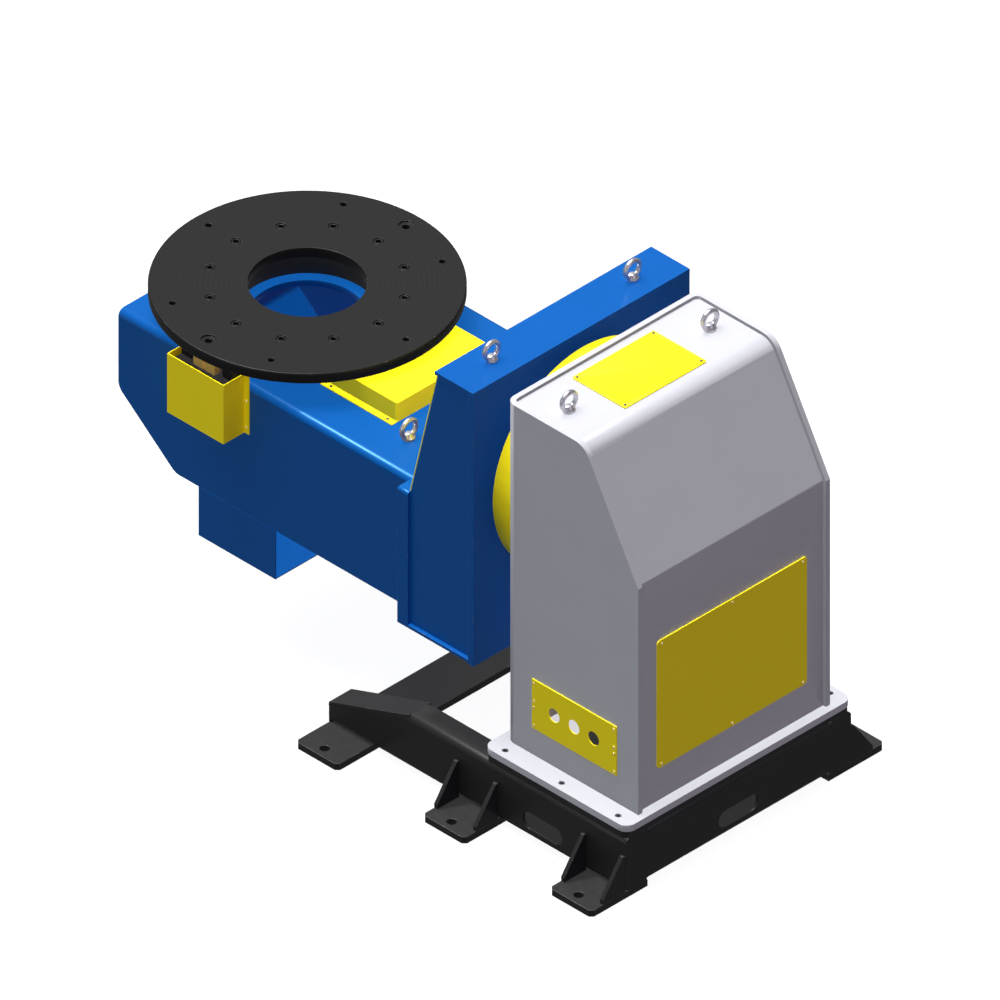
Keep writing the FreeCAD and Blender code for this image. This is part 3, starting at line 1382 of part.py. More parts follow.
def base_plates():
    pad = new_body("pad_plate")
    half = "pad_width/2"
    sides = ("pad_front", "pad_front + pad_length")
    places = base_bolt_places()
    thread = "base_bolt_size + thread_clearance"
    add_pad(pad, "XY", "beam_top", "pad_plate", [box(*sides, f"-{half}", half)],
            circles=[(bolt, thread) for bolt in places])
    cut_corners(pad, "pad_chamfer", *[{"x": x, "y": sign + half}
                                      for x in sides for sign in ("", "-")])
    finish_piece(pad, "pad_plate")

    base = new_body("base_plate")
    half = "base_plate_width/2"
    sides = ("base_plate_front", "base_plate_front + base_plate_length")
    add_pad(base, "XY", "pad_top", "base_plate", [box(*sides, f"-{half}", half)],
            circles=[(bolt, "base_bolt_size + base_bolt_clearance") for bolt in places])
    round_edges(base, "base_plate_corner", *[{"x": x, "y": sign + half}
                                             for x in sides for sign in ("", "-")])
    add_pocket(base, "XY", "headstock_foot - base_counterbore_depth", "base_counterbore_depth",
               circles=[(bolt, "base_counterbore") for bolt in places])
    finish_piece(base, "base_plate")
    bolt = socket_screw("BaseBolt", "base_bolt_head", "base_bolt_head_height",
                        "base_bolt_size", "base_bolt_length",
                        "base_bolt_socket")
    copies("base_bolts", bolt, [(x, y, "headstock_foot - base_counterbore_depth", UPRIGHT)
                                for x, y in places])


side_beams()
cross_tubes()
beam_caps()
feet()
base_plates()
headstock()
headstock_covers()
tilt_guard()
both_drives()
upright()
arm()
arm_covers()
brush_unit()
table()
small_screws()
lifting_eyes()

doc.recompute()
faults = [f"{item.Label}: {item.State}" for item in doc.Objects
          if "Invalid" in item.State or "Error" in item.State]
for piece in pieces:
    if piece.Shape.isNull() or not piece.Shape.isValid() or not piece.Shape.Solids:
        faults.append(f"{piece.Label}: bad shape")
if faults:
    raise RuntimeError("; ".join(faults))

os.makedirs("parts", exist_ok=True)
for piece in pieces:
    piece.Shape.exportStep(os.path.join("parts", piece.Label + ".step"))
print(len(pieces), "pieces", sum(len(piece.Shape.Solids) for piece in pieces), "solids")
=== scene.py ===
import json
import math

import bpy
from mathutils import Matrix, Vector

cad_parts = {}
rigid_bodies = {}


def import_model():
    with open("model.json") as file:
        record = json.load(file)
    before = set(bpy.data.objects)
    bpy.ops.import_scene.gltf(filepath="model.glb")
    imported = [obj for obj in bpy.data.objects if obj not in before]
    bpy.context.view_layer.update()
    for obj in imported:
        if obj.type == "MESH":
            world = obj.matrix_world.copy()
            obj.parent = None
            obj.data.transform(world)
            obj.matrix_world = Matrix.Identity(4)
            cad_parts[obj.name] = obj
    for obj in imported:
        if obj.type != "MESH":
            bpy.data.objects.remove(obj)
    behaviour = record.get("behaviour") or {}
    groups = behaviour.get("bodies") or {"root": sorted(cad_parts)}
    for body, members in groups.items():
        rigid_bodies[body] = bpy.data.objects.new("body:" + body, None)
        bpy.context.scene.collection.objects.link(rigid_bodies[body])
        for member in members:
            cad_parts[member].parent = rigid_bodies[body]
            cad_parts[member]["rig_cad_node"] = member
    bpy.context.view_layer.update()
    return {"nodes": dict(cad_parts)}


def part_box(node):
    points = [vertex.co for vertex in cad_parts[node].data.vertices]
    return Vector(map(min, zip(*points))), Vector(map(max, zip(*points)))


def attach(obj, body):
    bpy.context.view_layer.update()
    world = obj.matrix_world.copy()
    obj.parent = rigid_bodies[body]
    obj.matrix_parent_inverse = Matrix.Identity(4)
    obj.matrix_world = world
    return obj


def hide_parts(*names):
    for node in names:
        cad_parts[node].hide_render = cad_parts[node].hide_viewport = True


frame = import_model()


# Feet and front floor bar: 20 mm flame-cut steel plate with clipped corners,
# welded under the beams and drilled for the floor anchors. Black satin paint.

def blank(name):
    """New material whose patterns lie on the piece's own coordinates."""
    material = bpy.data.materials.new(name)
    material.use_nodes = True
    material.node_tree.nodes.new("ShaderNodeTexCoord")
    return material, material.node_tree.nodes, material.node_tree.links


def noise(nodes, links, scale, detail):
    """Grey noise over the piece, finer with a larger scale."""
    texture = nodes.new("ShaderNodeTexNoise")
    texture.inputs["Scale"].default_value = scale
    texture.inputs["Detail"].default_value = detail
    links.new(nodes["Texture Coordinate"].outputs["Object"], texture.inputs["Vector"])
    return texture.outputs["Fac"]


def clouded(nodes, links, cloud, *tones):
    """Colour that drifts between a dark and a light tone."""
    shade = nodes.new("ShaderNodeValToRGB")
    for element, position, tone in zip(shade.color_ramp.elements, (0.3, 0.7), tones):
        element.position = position
        element.color = (*tone, 1)
    links.new(cloud, shade.inputs["Fac"])
    return shade.outputs["Color"]


def ranged(nodes, links, pattern, low, high, start=0.0, end=1.0):
    """The pattern's values from start to end, laid out from low to high."""
    scale = nodes.new("ShaderNodeMapRange")
    scale.inputs["From Min"].default_value = start
    scale.inputs["From Max"].default_value = end
    scale.inputs["To Min"].default_value = low
    scale.inputs["To Max"].default_value = high
    links.new(pattern, scale.inputs["Value"])
    return scale.outputs["Result"]


def roughen(nodes, links, pattern, strength, depth):
    """Raises and sinks the surface with the pattern."""
    bump = nodes.new("ShaderNodeBump")
    bump.inputs["Strength"].default_value = strength
    bump.inputs["Distance"].default_value = depth
    links.new(pattern, bump.inputs["Height"])
    links.new(bump.outputs["Normal"], nodes["Principled BSDF"].inputs["Normal"])


def painted(name, colour, roughness, uneven=0.04, shine=0.16, tint=(1, 1, 1)):
    """Sprayed coat with faint clouds and orange peel, and its chipped edges, lighter as a
    painted highlight.
    """
    layers = []
    # The edge layer is lighter as a painted highlight; its chips down to bare steel are
    # wear.
    for layer, highlight_lift, chipped in ((name, 1.0, 0.0), (name + " edges", 1.25, 0.35)):
        material, nodes, links = blank(layer)
        shader = nodes["Principled BSDF"]
        shader.inputs["Specular IOR Level"].default_value = shine
        shader.inputs["Specular Tint"].default_value = (*tint, 1)
        tones = [[min(part * highlight_lift * (1 + side * uneven), 1) for part in colour]
                 for side in (-1, 1)]
        coat_colour = clouded(nodes, links, noise(nodes, links, 6.0, 5.0), *tones)
        scuff = noise(nodes, links, 75.0, 4.0)
        bare = nodes.new("ShaderNodeMix")
        bare.data_type = "RGBA"
        bare.inputs["B"].default_value = (0.22, 0.21, 0.20, 1)
        links.new(ranged(nodes, links, scuff, 0, chipped, 0.60, 0.64),
                  bare.inputs["Factor"])
        links.new(coat_colour, bare.inputs["A"])
        links.new(bare.outputs["Result"], shader.inputs["Base Color"])
        links.new(ranged(nodes, links, scuff, roughness - 0.06, roughness + 0.06),
                  shader.inputs["Roughness"])
        orange_peel = noise(nodes, links, 420.0, 2.0)
        roughen(nodes, links, orange_peel, 0.35, 0.00012)
        layers.append(material)
    return layers


def alone(obj):
    """Selects this piece and nothing else."""
    bpy.ops.object.select_all(action="DESELECT")
    obj.select_set(True)
    bpy.context.view_layer.objects.active = obj


def apply_modifiers(obj):
    alone(obj)
    for modifier in list(obj.modifiers):
        bpy.ops.object.modifier_apply(modifier=modifier.name)


def ease_edges(obj, width, segments):
    """Bevels every edge sharper than 40 degrees, with the last material on the bevel."""
    ease = obj.modifiers.new("Ease", "BEVEL")
    ease.width = width
    ease.segments = segments
    ease.limit_method = "ANGLE"
    ease.angle_limit = math.radians(40)
    ease.harden_normals = True
    ease.material = len(obj.data.materials) - 1
    apply_modifiers(obj)


def coat(piece, finish):
    """Gives the piece its finish: one material for faces, one for eased edges."""
    piece.data.materials.clear()
    for layer in finish:
        piece.data.materials.append(layer)
    return piece


def dress(piece, name, body, slot, *replaced):
    """Names the piece, mounts it on its body and hides the CAD shapes it stands for."""
    piece.name = name
    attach(piece, body)
    if replaced:
        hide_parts(*replaced)
    return piece


def cad_copy(*names):
    """Merged copy of one or more CAD shapes, ready to be finished."""
    bpy.ops.object.select_all(action="DESELECT")
    for name in names:
        frame["nodes"][name].select_set(True)
    bpy.context.view_layer.objects.active = frame["nodes"][names[0]]
    bpy.ops.object.duplicate()
    if len(names) > 1:
        bpy.context.view_layer.objects.active = bpy.context.selected_objects[0]
        bpy.ops.object.join()
    piece = bpy.context.view_layer.objects.active
    del piece["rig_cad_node"]
    bpy.ops.object.mode_set(mode="EDIT")
    bpy.ops.mesh.select_all(action="SELECT")
    bpy.ops.mesh.remove_doubles(threshold=0.00002)
    bpy.ops.mesh.dissolve_limited(angle_limit=math.radians(0.5))
    bpy.ops.object.mode_set(mode="OBJECT")
    return piece


def broken_edges(node, body, finish, slot, width=0.0012, segments=2):
    """The node's own shape with its sharp edges eased, as grinding and paint leave them."""
    piece = coat(cad_copy(node), finish)
    ease_edges(piece, width, segments)
    return dress(piece, node + "_finished", body, slot, node)


black_paint = painted("black frame paint", (0.0165, 0.0165, 0.017), 0.36, shine=0.24)
for foot in ("front_floor_bar", "foot_middle_left", "foot_middle_right",
             "foot_rear_left", "foot_rear_right"):
    broken_edges(foot, "base", black_paint, "black_paint")


# Side beams and cross tubes: rectangular hollow section, 160 x 80 mm, with slots
# for cables, sloping noses and welded end plates. Gussets stiffen the feet.

for tube in ("side_beam_left", "side_beam_right", "rear_cross_tube",
             "middle_cross_tube"):
    broken_edges(tube, "base", black_paint, "black_paint", 0.001)
broken_edges("beam_end_caps", "base", black_paint, "black_paint", 0.0008)


def pull(piece, chosen, shift):
    """Moves the corners that the test chooses."""
    bpy.ops.object.mode_set(mode="EDIT")
    bpy.ops.mesh.select_all(action="DESELECT")
    bpy.ops.object.mode_set(mode="OBJECT")
    for corner in piece.data.vertices:
        corner.select = chosen(corner.co)
    bpy.ops.object.mode_set(mode="EDIT")
    bpy.ops.transform.translate(value=shift)
    bpy.ops.object.mode_set(mode="OBJECT")


gussets = coat(cad_copy("foot_gussets"), black_paint)
TOE_IN, FLAT_IN, TOE_DOWN, TOP_DOWN = 0.007, 0.012, 0.007, 0.016
for side in (-1, 1):
    pull(gussets, lambda co: side * co.y > 0.480, (0, -TOE_IN * side, 0))
    pull(gussets, lambda co: 0.410 < side * co.y < 0.430, (0, -FLAT_IN * side, 0))
pull(gussets, lambda co: 0.035 < co.z < 0.045, (0, 0, -TOE_DOWN))
pull(gussets, lambda co: co.z > 0.140, (0, 0, -TOP_DOWN))
ease_edges(gussets, 0.0008, 2)
dress(gussets, "foot_gussets_finished", "base", "black_paint", "foot_gussets")


# Pad plate and base plate: 20 mm plates that level the headstock on the beams. The
# lower one is black, the upper one light and throws no glow up at the headstock.
# Six M10 socket screws in counterbores hold them together.

light_paint = painted("light headstock paint", (0.475, 0.478, 0.515), 0.38, uneven=0.015)
broken_edges("pad_plate", "base", black_paint, "black_paint")
pale_plate = broken_edges("base_plate", "base", light_paint, "light_paint", 0.0015)
pale_plate.visible_diffuse = False


def metal(name, colour, roughness, grain=90.0, depth=0.00006, uneven=0.12,
          metallic=1.0):
    """Bare or plated metal, clouded over a fine grain, and its burnished edges, lighter as
    a painted highlight.
    """
    layers = []
    # The edge layer is smoother as burnished metal and lighter as a painted highlight.
    for layer, highlight_lift, polish in ((name, 1.0, 0.0), (name + " edges", 1.6, 0.07)):
        material, nodes, links = blank(layer)
        shader = nodes["Principled BSDF"]
        shader.inputs["Metallic"].default_value = metallic
        cloud = noise(nodes, links, grain, 6.0)
        tones = [[min(part * highlight_lift * shade, 0.95) for part in colour]
                 for shade in (1 - uneven, 1.0)]
        links.new(clouded(nodes, links, cloud, *tones), shader.inputs["Base Color"])
        links.new(ranged(nodes, links, cloud, roughness - 0.08 - polish,
                         roughness + 0.08 - polish), shader.inputs["Roughness"])
        roughen(nodes, links, cloud, 0.3, depth)
        layers.append(material)
    return layers


def bored(obj, cutter):
    """Cuts the cutter's shape out of the piece and clears the cutter away."""
    cut = obj.modifiers.new("Cut", "BOOLEAN")
    cut.operation = "DIFFERENCE"
    cut.object = cutter
    apply_modifiers(obj)
    bpy.data.objects.remove(cutter)


def add_cylinder(radius, low, high, vertices=48):
    """Upright cylinder on the z axis, from its lower to its upper height."""
    bpy.ops.object.select_all(action="DESELECT")
    bpy.ops.mesh.primitive_cylinder_add(vertices=vertices, radius=radius,
                                        depth=high - low, location=(0, 0, (low + high) / 2))
    bpy.ops.object.transform_apply(location=True)
    return bpy.context.object


def joined(*parts):
    bpy.ops.object.select_all(action="DESELECT")
    for part in parts:
        part.select_set(True)
    bpy.context.view_layer.objects.active = parts[0]
    bpy.ops.object.join()
    return bpy.context.view_layer.objects.active


def socket_screw(head, height, key_size, shank, length, ease):
    """Socket head screw at the origin: seat at z = 0, hexagon in its head, shank below."""
    screw = add_cylinder(head / 2, 0, height)
    bored(screw, add_cylinder(key_size / math.sqrt(3), height * 0.45, height + 0.001,
                              vertices=6))
    stem = add_cylinder(shank / 2, -length, height * 0.2, vertices=24)
    ease_edges(screw, ease, 2)
    ease_edges(stem, shank * 0.08, 1)
    return joined(screw, stem)


def set_out(master, spots):
    """Copies of one finished fastener at their places, joined to one piece."""
    laid = []
    for spot in spots:
        alone(master)
        bpy.ops.object.duplicate()
        laid.append(bpy.context.view_layer.objects.active)
        laid[-1].matrix_world = spot
    bpy.data.objects.remove(master)
    bpy.context.view_layer.update()
    joined(*laid)
    bpy.ops.object.transform_apply(location=True, rotation=True, scale=True)
    return bpy.context.view_layer.objects.active


def upright_at(x, y, z, turn=0.0):
    """Place of a fastener that points up, turned by so many degrees."""
    return Matrix.Translation((x, y, z)) @ Matrix.Rotation(math.radians(turn), 4, "Z")


def middle(node):
    """Middle of a CAD shape's box."""
    low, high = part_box(node)
    return (Vector(low) + Vector(high)) / 2


def inset(node, axis, margin):
    """Two places on one axis, this margin inside the edges of a CAD shape."""
    low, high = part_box(node)
    return low[axis] + margin, high[axis] - margin


black_screw = metal("blackened screw steel", (0.075, 0.075, 0.08), 0.38, metallic=0.5)
plate_middle, plate_top = middle("base_plate"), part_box("base_plate")[1][2]
PLATE_COUNTERBORE = 0.011
bolt_spots = [upright_at(plate_middle.x + shift, y, plate_top - PLATE_COUNTERBORE, 20)
              for shift in (-0.2, 0, 0.2) for y in inset("base_plate", 1, 0.025)]
base_bolts = set_out(socket_screw(head=0.016, height=0.010, key_size=0.008, shank=0.010,
                                  length=0.027, ease=0.0006), bolt_spots)
dress(coat(base_bolts, black_screw), "base_bolts_finished", "base", "black_screws",
      "base_bolts")


# Headstock: a front and two sides bent from one 15 mm plate, with an 8 mm sheet
# over top, slope and rear, set in from the side plates' edges. The groove along
# the sheet stays dark.

broken_edges("headstock_frame", "base", light_paint, "light_paint", 0.0015)
cover_sheet = broken_edges("headstock_cover_sheet", "base", light_paint, "light_paint",
                           0.001)
cover_sheet.visible_diffuse = False


# Shade mat: a black 3 mm sheet, loose on the base plate under the tilt motor, as painted
# shade. It is the dark thing behind the last gland hole, where the shadowless light would
# light the headstock's inside.

MAT_SIZE = (0.205, 0.520, 0.003)
shade_black = painted("black shade sheet", (0.012, 0.012, 0.012), 0.55)
# Black sheet that stands in for the shade inside the headstock.
bpy.ops.object.select_all(action="DESELECT")
bpy.ops.mesh.primitive_cube_add(size=1)
shade_mat = bpy.context.object
bpy.ops.object.mode_set(mode="EDIT")
bpy.ops.transform.resize(value=MAT_SIZE)
bpy.ops.transform.translate(value=(plate_middle.x - 0.006, 0, plate_top + 0.0017))
bpy.ops.object.mode_set(mode="OBJECT")
ease_edges(coat(shade_mat, shade_black), 0.0008, 2)
dress(shade_mat, "shade_mat", "base", "holder_plastic")


# Yellow service covers: 3 mm sheet, powder coated, screwed over the openings in
# the top, the rear and the side. The side panel has three holes for glands. The
# top cover's screws are blackened, the others yellow.

yellow_paint = painted("yellow powder coat", (0.95, 0.78, 0.008), 0.40, uneven=0.015)
for cover in ("top_cover", "rear_cover", "gland_panel"):
    broken_edges(cover, "base", yellow_paint, "yellow_paint", 0.0007)

yellow_zinc = metal("yellow zinc", (0.85, 0.74, 0.38), 0.30, metallic=0.6)
facing_right = Matrix.Rotation(math.radians(90), 4, "X")
facing_rear = Matrix.Rotation(math.radians(90), 4, "Y")


def cover_screw():
    """M4 pan head screw with a small socket."""
    return socket_screw(head=0.007, height=0.0026, key_size=0.0035, shank=0.004,
                        length=0.012, ease=0.0005)


lid_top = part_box("top_cover")[1][2]
lid_spots = [upright_at(x, y, lid_top, 30) for x in inset("top_cover", 0, 0.010)
             for y in inset("top_cover", 1, 0.010)]
dress(coat(set_out(cover_screw(), lid_spots), black_screw),
      "top_cover_screws_finished", "base", "black_screws")
rear_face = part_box("rear_cover")[1][0]
rear_spots = [Matrix.Translation((rear_face, y, z)) @ facing_rear
              for y in (-0.250, 0, 0.250) for z in inset("rear_cover", 2, 0.010)]
panel_face, panel_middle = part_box("gland_panel")[0][1], middle("gland_panel").z
panel_spots = [Matrix.Translation((x, panel_face, panel_middle + z)) @ facing_right
               for x in inset("gland_panel", 0, 0.008)
               for z in (-0.065, -0.010, 0.010, 0.065)]
dress(coat(set_out(cover_screw(), rear_spots + panel_spots), yellow_zinc),
      "headstock_cover_screws_finished", "base", "zinc_screws",
      "headstock_cover_screws")


# Lifting eyes: forged M16 eye bolts, bright zinc plated, two on the headstock's
# sheet. The ring runs into a flared collar that sits on the sheet.

def turned(profile, steps=48):
    """Piece turned round the z axis from its profile of (radius, height) corners."""
    bpy.ops.object.select_all(action="DESELECT")
    bpy.ops.mesh.primitive_plane_add(size=0.001)
    piece = bpy.context.object
    bpy.ops.object.mode_set(mode="EDIT")
    bpy.ops.mesh.select_all(action="SELECT")
    bpy.ops.mesh.merge(type="CENTER")
    bpy.ops.transform.translate(value=(profile[0][0], 0, profile[0][1]))
    for (radius, height), (next_radius, next_height) in zip(profile, profile[1:]):
        bpy.ops.mesh.extrude_region_move(TRANSFORM_OT_translate={
            "value": (next_radius - radius, 0, next_height - height)})
    bpy.ops.mesh.select_all(action="SELECT")
    bpy.ops.mesh.spin(steps=steps, angle=math.tau, center=(0, 0, 0), axis=(0, 0, 1))
    bpy.ops.mesh.select_all(action="SELECT")
    bpy.ops.mesh.remove_doubles(threshold=0.00001)
    bpy.ops.mesh.normals_make_consistent(inside=False)
    bpy.ops.object.mode_set(mode="OBJECT")
    return piece


def lifting_eye():
    """M16 eye bolt standing on z = 0: collar and ring run together as forged."""
    neck = turned([(0, -0.020), (0.0070, -0.020), (0.0080, -0.019), (0.0080, 0),
                   (0.0175, 0), (0.0175, 0.0066), (0.0160, 0.0082), (0.0132, 0.0105),
                   (0.0110, 0.0145), (0.0088, 0.0185), (0, 0.0190)])
    bpy.ops.object.select_all(action="DESELECT")
    bpy.ops.mesh.primitive_torus_add(major_radius=0.0243, minor_radius=0.0069,
                                     major_segments=64, minor_segments=24,
                                     location=(0, 0, 0.0307),
                                     rotation=(0, math.radians(90), 0))
    bpy.ops.object.transform_apply(location=True, rotation=True)
    eye = joined(neck, bpy.context.object)
    forged = eye.modifiers.new("Forged", "REMESH")
    forged.mode = "VOXEL"
    forged.voxel_size = 0.0011
    run_out = eye.modifiers.new("RunOut", "SMOOTH")
    run_out.factor = 0.5
    run_out.iterations = 6
    apply_modifiers(eye)
    bpy.ops.object.shade_smooth()
    return eye


forged_zinc = metal("plated forging", (0.60, 0.59, 0.63), 0.30, grain=220.0,
                    depth=0.00012, metallic=0.85)
eye_line, sheet_top = middle("top_cover").x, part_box("headstock_cover_sheet")[1][2]
eye_spots = [upright_at(eye_line, y, sheet_top) for y in (-0.250, 0.250)]
dress(coat(set_out(lifting_eye(), eye_spots), forged_zinc),
      "headstock_lifting_eyes_finished", "base", "zinc_screws",
      "headstock_lifting_eyes")


# Tilt ring: crossed-roller slewing ring of forged bearing steel. The inner half
# is bolted to the headstock, the toothed outer half carries the arm.

ring_steel = metal("phosphated ring steel", (0.020, 0.020, 0.022), 0.42, grain=160.0,
                   metallic=0.3)
gear_steel = metal("greased gear steel", (0.30, 0.30, 0.31), 0.28, grain=160.0)
broken_edges("tilt_fixed_ring", "base", ring_steel, "ring_steel", 0.0008)
broken_edges("tilt_gear_ring", "arm", gear_steel, "ring_steel", 0.0006, 1)
for bolts, body in (("tilt_fixed_ring_bolts", "base"), ("tilt_gear_ring_bolts", "arm")):
    broken_edges(bolts, body, black_screw, "black_screws", 0.0008)


# Tilt drive: servo motor and planetary gearbox behind the front plate, their
# pinion in front of it. Cast housings in grey paint, the pinion in bare steel.

gearbox_paint = painted("grey gearbox paint", (0.20, 0.21, 0.23), 0.48)
motor_paint = painted("black motor paint", (0.03, 0.03, 0.033), 0.38)
zinc = metal("bright zinc", (0.78, 0.79, 0.80), 0.26)
HEADSTOCK_WALL = 0.015
CENTRE_DISTANCE = 0.360
FLANGE_BACK = 0.015
ADAPTER_END = 0.120
MOTOR_HALF = 0.065
downwards = Matrix.Rotation(math.pi, 4, "X")
sideways = Matrix.Rotation(math.pi / 2, 4, "Y")


def stepped_square(corner, levels):
    """Square bar with round corners, stepped downwards through (height, half width)."""
    bpy.ops.object.select_all(action="DESELECT")
    bpy.ops.mesh.primitive_plane_add(size=2 * levels[0][1],
                                     location=(0, 0, levels[0][0]))
    bpy.ops.object.transform_apply(location=True)
    bpy.ops.object.mode_set(mode="EDIT")
    bpy.ops.mesh.select_all(action="SELECT")
    bpy.ops.mesh.bevel(offset=corner, segments=5, affect="VERTICES")
    bpy.ops.mesh.select_all(action="SELECT")
    for (height, half), (next_height, next_half) in zip(levels, levels[1:]):
        bpy.ops.mesh.extrude_region_move(TRANSFORM_OT_translate={
            "value": (0, 0, next_height - height)})
        bpy.ops.transform.resize(value=(next_half / half, next_half / half, 1),
                                 center_override=(0, 0, next_height))
    bpy.ops.mesh.select_all(action="SELECT")
    bpy.ops.mesh.normals_make_consistent(inside=False)
    bpy.ops.object.mode_set(mode="OBJECT")
    return bpy.context.object


def gearbox(wall):
    """Planetary gearbox: pilot at z = 0 in a wall of this thickness, output bore up."""
    back = -wall - FLANGE_BACK
    end = -wall - ADAPTER_END
    housing = turned([
        (0, -0.062), (0.0303, -0.062), (0.0303, -0.001), (0.0313, 0), (0.0400, 0),
        (0.0400, -0.0015), (0.0440, -0.0015), (0.0440, 0), (0.0540, 0),
        (0.0550, -0.001), (0.0550, -wall), (0.0990, -wall), (0.1000, -wall - 0.001),
        (0.1000, back + 0.0015), (0.0985, back), (0.0835, back), (0.0810, back - 0.001),
        (0.0800, back - 0.0035), (0.0800, back - 0.0160), (0.0785, back - 0.0170),
        (0.0785, back - 0.0190), (0.0800, back - 0.0200), (0.0800, back - 0.0420),
        (0.0785, back - 0.0430), (0.0785, back - 0.0450), (0.0800, back - 0.0460),
        (0.0800, back - 0.0565), (0.0785, back - 0.0580), (0.0730, back - 0.0640),
        (0.0730, end + 0.0215), (0.0715, end + 0.020), (0.0715, end), (0, end)], 96)
    adapter = stepped_square(0.016, [(end + 0.020, MOTOR_HALF - 0.0015),
                                     (end + 0.0185, MOTOR_HALF), (end, MOTOR_HALF)])
    body = coat(joined(housing, adapter), gearbox_paint)
    around = [Matrix.Rotation(math.radians(45 * step), 4, "Z")
              @ Matrix.Translation((0.090, 0, back)) for step in range(8)]
    bolt = socket_screw(head=0.016, height=0.010, key_size=0.008, shank=0.010,
                        length=0.014, ease=0.0007)
    bolts = coat(set_out(bolt, [spot @ downwards for spot in around]), black_screw)
    plug = turned([(0, -0.004), (0.0075, -0.004), (0.0075, 0), (0.0110, 0),
                   (0.0110, 0.0015), (0.0095, 0.0025), (0.0050, 0.0025),
                   (0.0050, 0.0005), (0, 0.0005)], 24)
    plug_spots = [Matrix.Translation((0, MOTOR_HALF, end + 0.010))
                  @ Matrix.Rotation(-math.pi / 2, 4, "X"),
                  Matrix.Translation((0.080, 0, back - 0.031)) @ sideways]
    return joined(body, bolts, coat(set_out(plug, plug_spots), zinc))


def servo_motor(wall):
    """Servo motor behind a gearbox: grooved body, encoder cap and two connectors."""
    front = -wall - ADAPTER_END
    back = front - 0.150
    half, groove = MOTOR_HALF, MOTOR_HALF - 0.004
    levels = [(front, half), (front - 0.012, half), (front - 0.012, groove + 0.002),
              (front - 0.014, groove + 0.002), (front - 0.014, half)]
    for step in (4, 3, 2, 1, 0):
        low = back + 0.054 + 0.016 * step
        levels += [(low + 0.0055, half), (low + 0.0045, groove), (low + 0.0015, groove),
                   (low + 0.0005, half)]
    levels += [(back + 0.044, half), (back + 0.044, groove + 0.002),
               (back + 0.042, groove + 0.002), (back + 0.042, half),
               (back + 0.0015, half), (back, half - 0.0015)]
    case = stepped_square(0.016, levels)
    cap = turned([
        (0, back), (0.0550, back), (0.0550, back - 0.0060), (0.0535, back - 0.0075),
        (0.0535, back - 0.0325), (0.0550, back - 0.0340), (0.0550, back - 0.0380),
        (0.0530, back - 0.0400), (0.0300, back - 0.0400), (0.0285, back - 0.0385),
        (0, back - 0.0385)], 72)
    bpy.ops.object.select_all(action="DESELECT")
    bpy.ops.mesh.primitive_cube_add(size=1, location=(half + 0.0045, 0, back + 0.025),
                                    scale=(0.011, 0.040, 0.034))
    bpy.ops.object.transform_apply(location=True, scale=True)
    socket_base = bpy.context.object
    ease_edges(socket_base, 0.003, 3)
    body = coat(joined(case, cap, socket_base), motor_paint)
    socket = turned([
        (0, -0.001), (0.0090, -0.001), (0.0090, 0.005), (0.0080, 0.006), (0.0080, 0.009),
        (0.0094, 0.010), (0.0094, 0.018), (0.0085, 0.0195), (0.0074, 0.0195),
        (0.0074, 0.012), (0.0050, 0.012), (0.0050, 0.017), (0, 0.017)], 12)
    sockets = coat(set_out(socket, [
        Matrix.Translation((half + 0.010, y, back + 0.025)) @ sideways
        for y in (-0.0098, 0.0098)]), zinc)
    screw = socket_screw(head=0.007, height=0.004, key_size=0.003, shank=0.004,
                         length=0.008, ease=0.0004)
    screws = coat(set_out(screw, [
        Matrix.Rotation(math.radians(45 + 90 * step), 4, "Z")
        @ Matrix.Translation((0.046, 0, back - 0.040)) @ downwards
        for step in range(4)]), black_screw)
    return joined(body, sockets, screws)


def set_at(piece, spot):
    """Moves a piece built at the drive's own axis to its place, with its mesh."""
    alone(piece)
    piece.matrix_world = spot
    bpy.context.view_layer.update()
    bpy.ops.object.transform_apply(location=True, rotation=True, scale=True)
    return piece


tilt_axis, ring_seat = middle("tilt_fixed_ring").z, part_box("tilt_fixed_ring")[1][0]
drive_below_ring = Matrix(((0, 0, -1, ring_seat), (0, -1, 0, 0), (-1, 0, 0, tilt_axis),
                           (0, 0, 0, 1))) @ Matrix.Translation((CENTRE_DISTANCE, 0, 0))
dress(set_at(gearbox(HEADSTOCK_WALL), drive_below_ring), "tilt_gearbox", "base",
      "reducer_metal", "tilt_reducer")
dress(set_at(servo_motor(HEADSTOCK_WALL), drive_below_ring), "tilt_motor", "base",
      "motor_metal", "tilt_servo_motor")
broken_edges("tilt_pinion", "tilt_pinion", gear_steel, "ring_steel", 0.0006, 1)


# Guard of the tilt ring: two halves of rolled and welded 3 mm sheet, powder coated,
# that meet at the top and at the bottom. They throw no glow on their neighbours.

for half in ("tilt_guard_left", "tilt_guard_right"):
    rolled_sheet = broken_edges(half, "base", yellow_paint, "yellow_paint", 0.0007)
    rolled_sheet.visible_diffuse = False
    rolled_sheet.visible_glossy = False


# Upright and flange: a box of welded plate on the tilt ring, closed at the back
# by a sloping yellow sheet, and a thick flange that carries the arm.

blue_paint = painted("blue arm paint", (0.0030, 0.081, 0.325), 0.33, uneven=0.03,
                     shine=0.28, tint=(0.10, 0.45, 1.0))
for plate in ("upright_front_plate", "upright_side_left", "upright_side_right",
              "upright_top_plate", "upright_bottom_plate", "arm_flange"):
    broken_edges(plate, "arm", blue_paint, "blue_paint")
broken_edges("upright_back_cover", "arm", yellow_paint, "yellow_paint", 0.0007)


# Arm: an 18 mm top plate with its long edges bent down, side plates welded on below
# them and ground flush, a bent belly plate welded in, and a trough below it for the
# hose loop. Shell and belly don't mirror themselves in their neighbours.

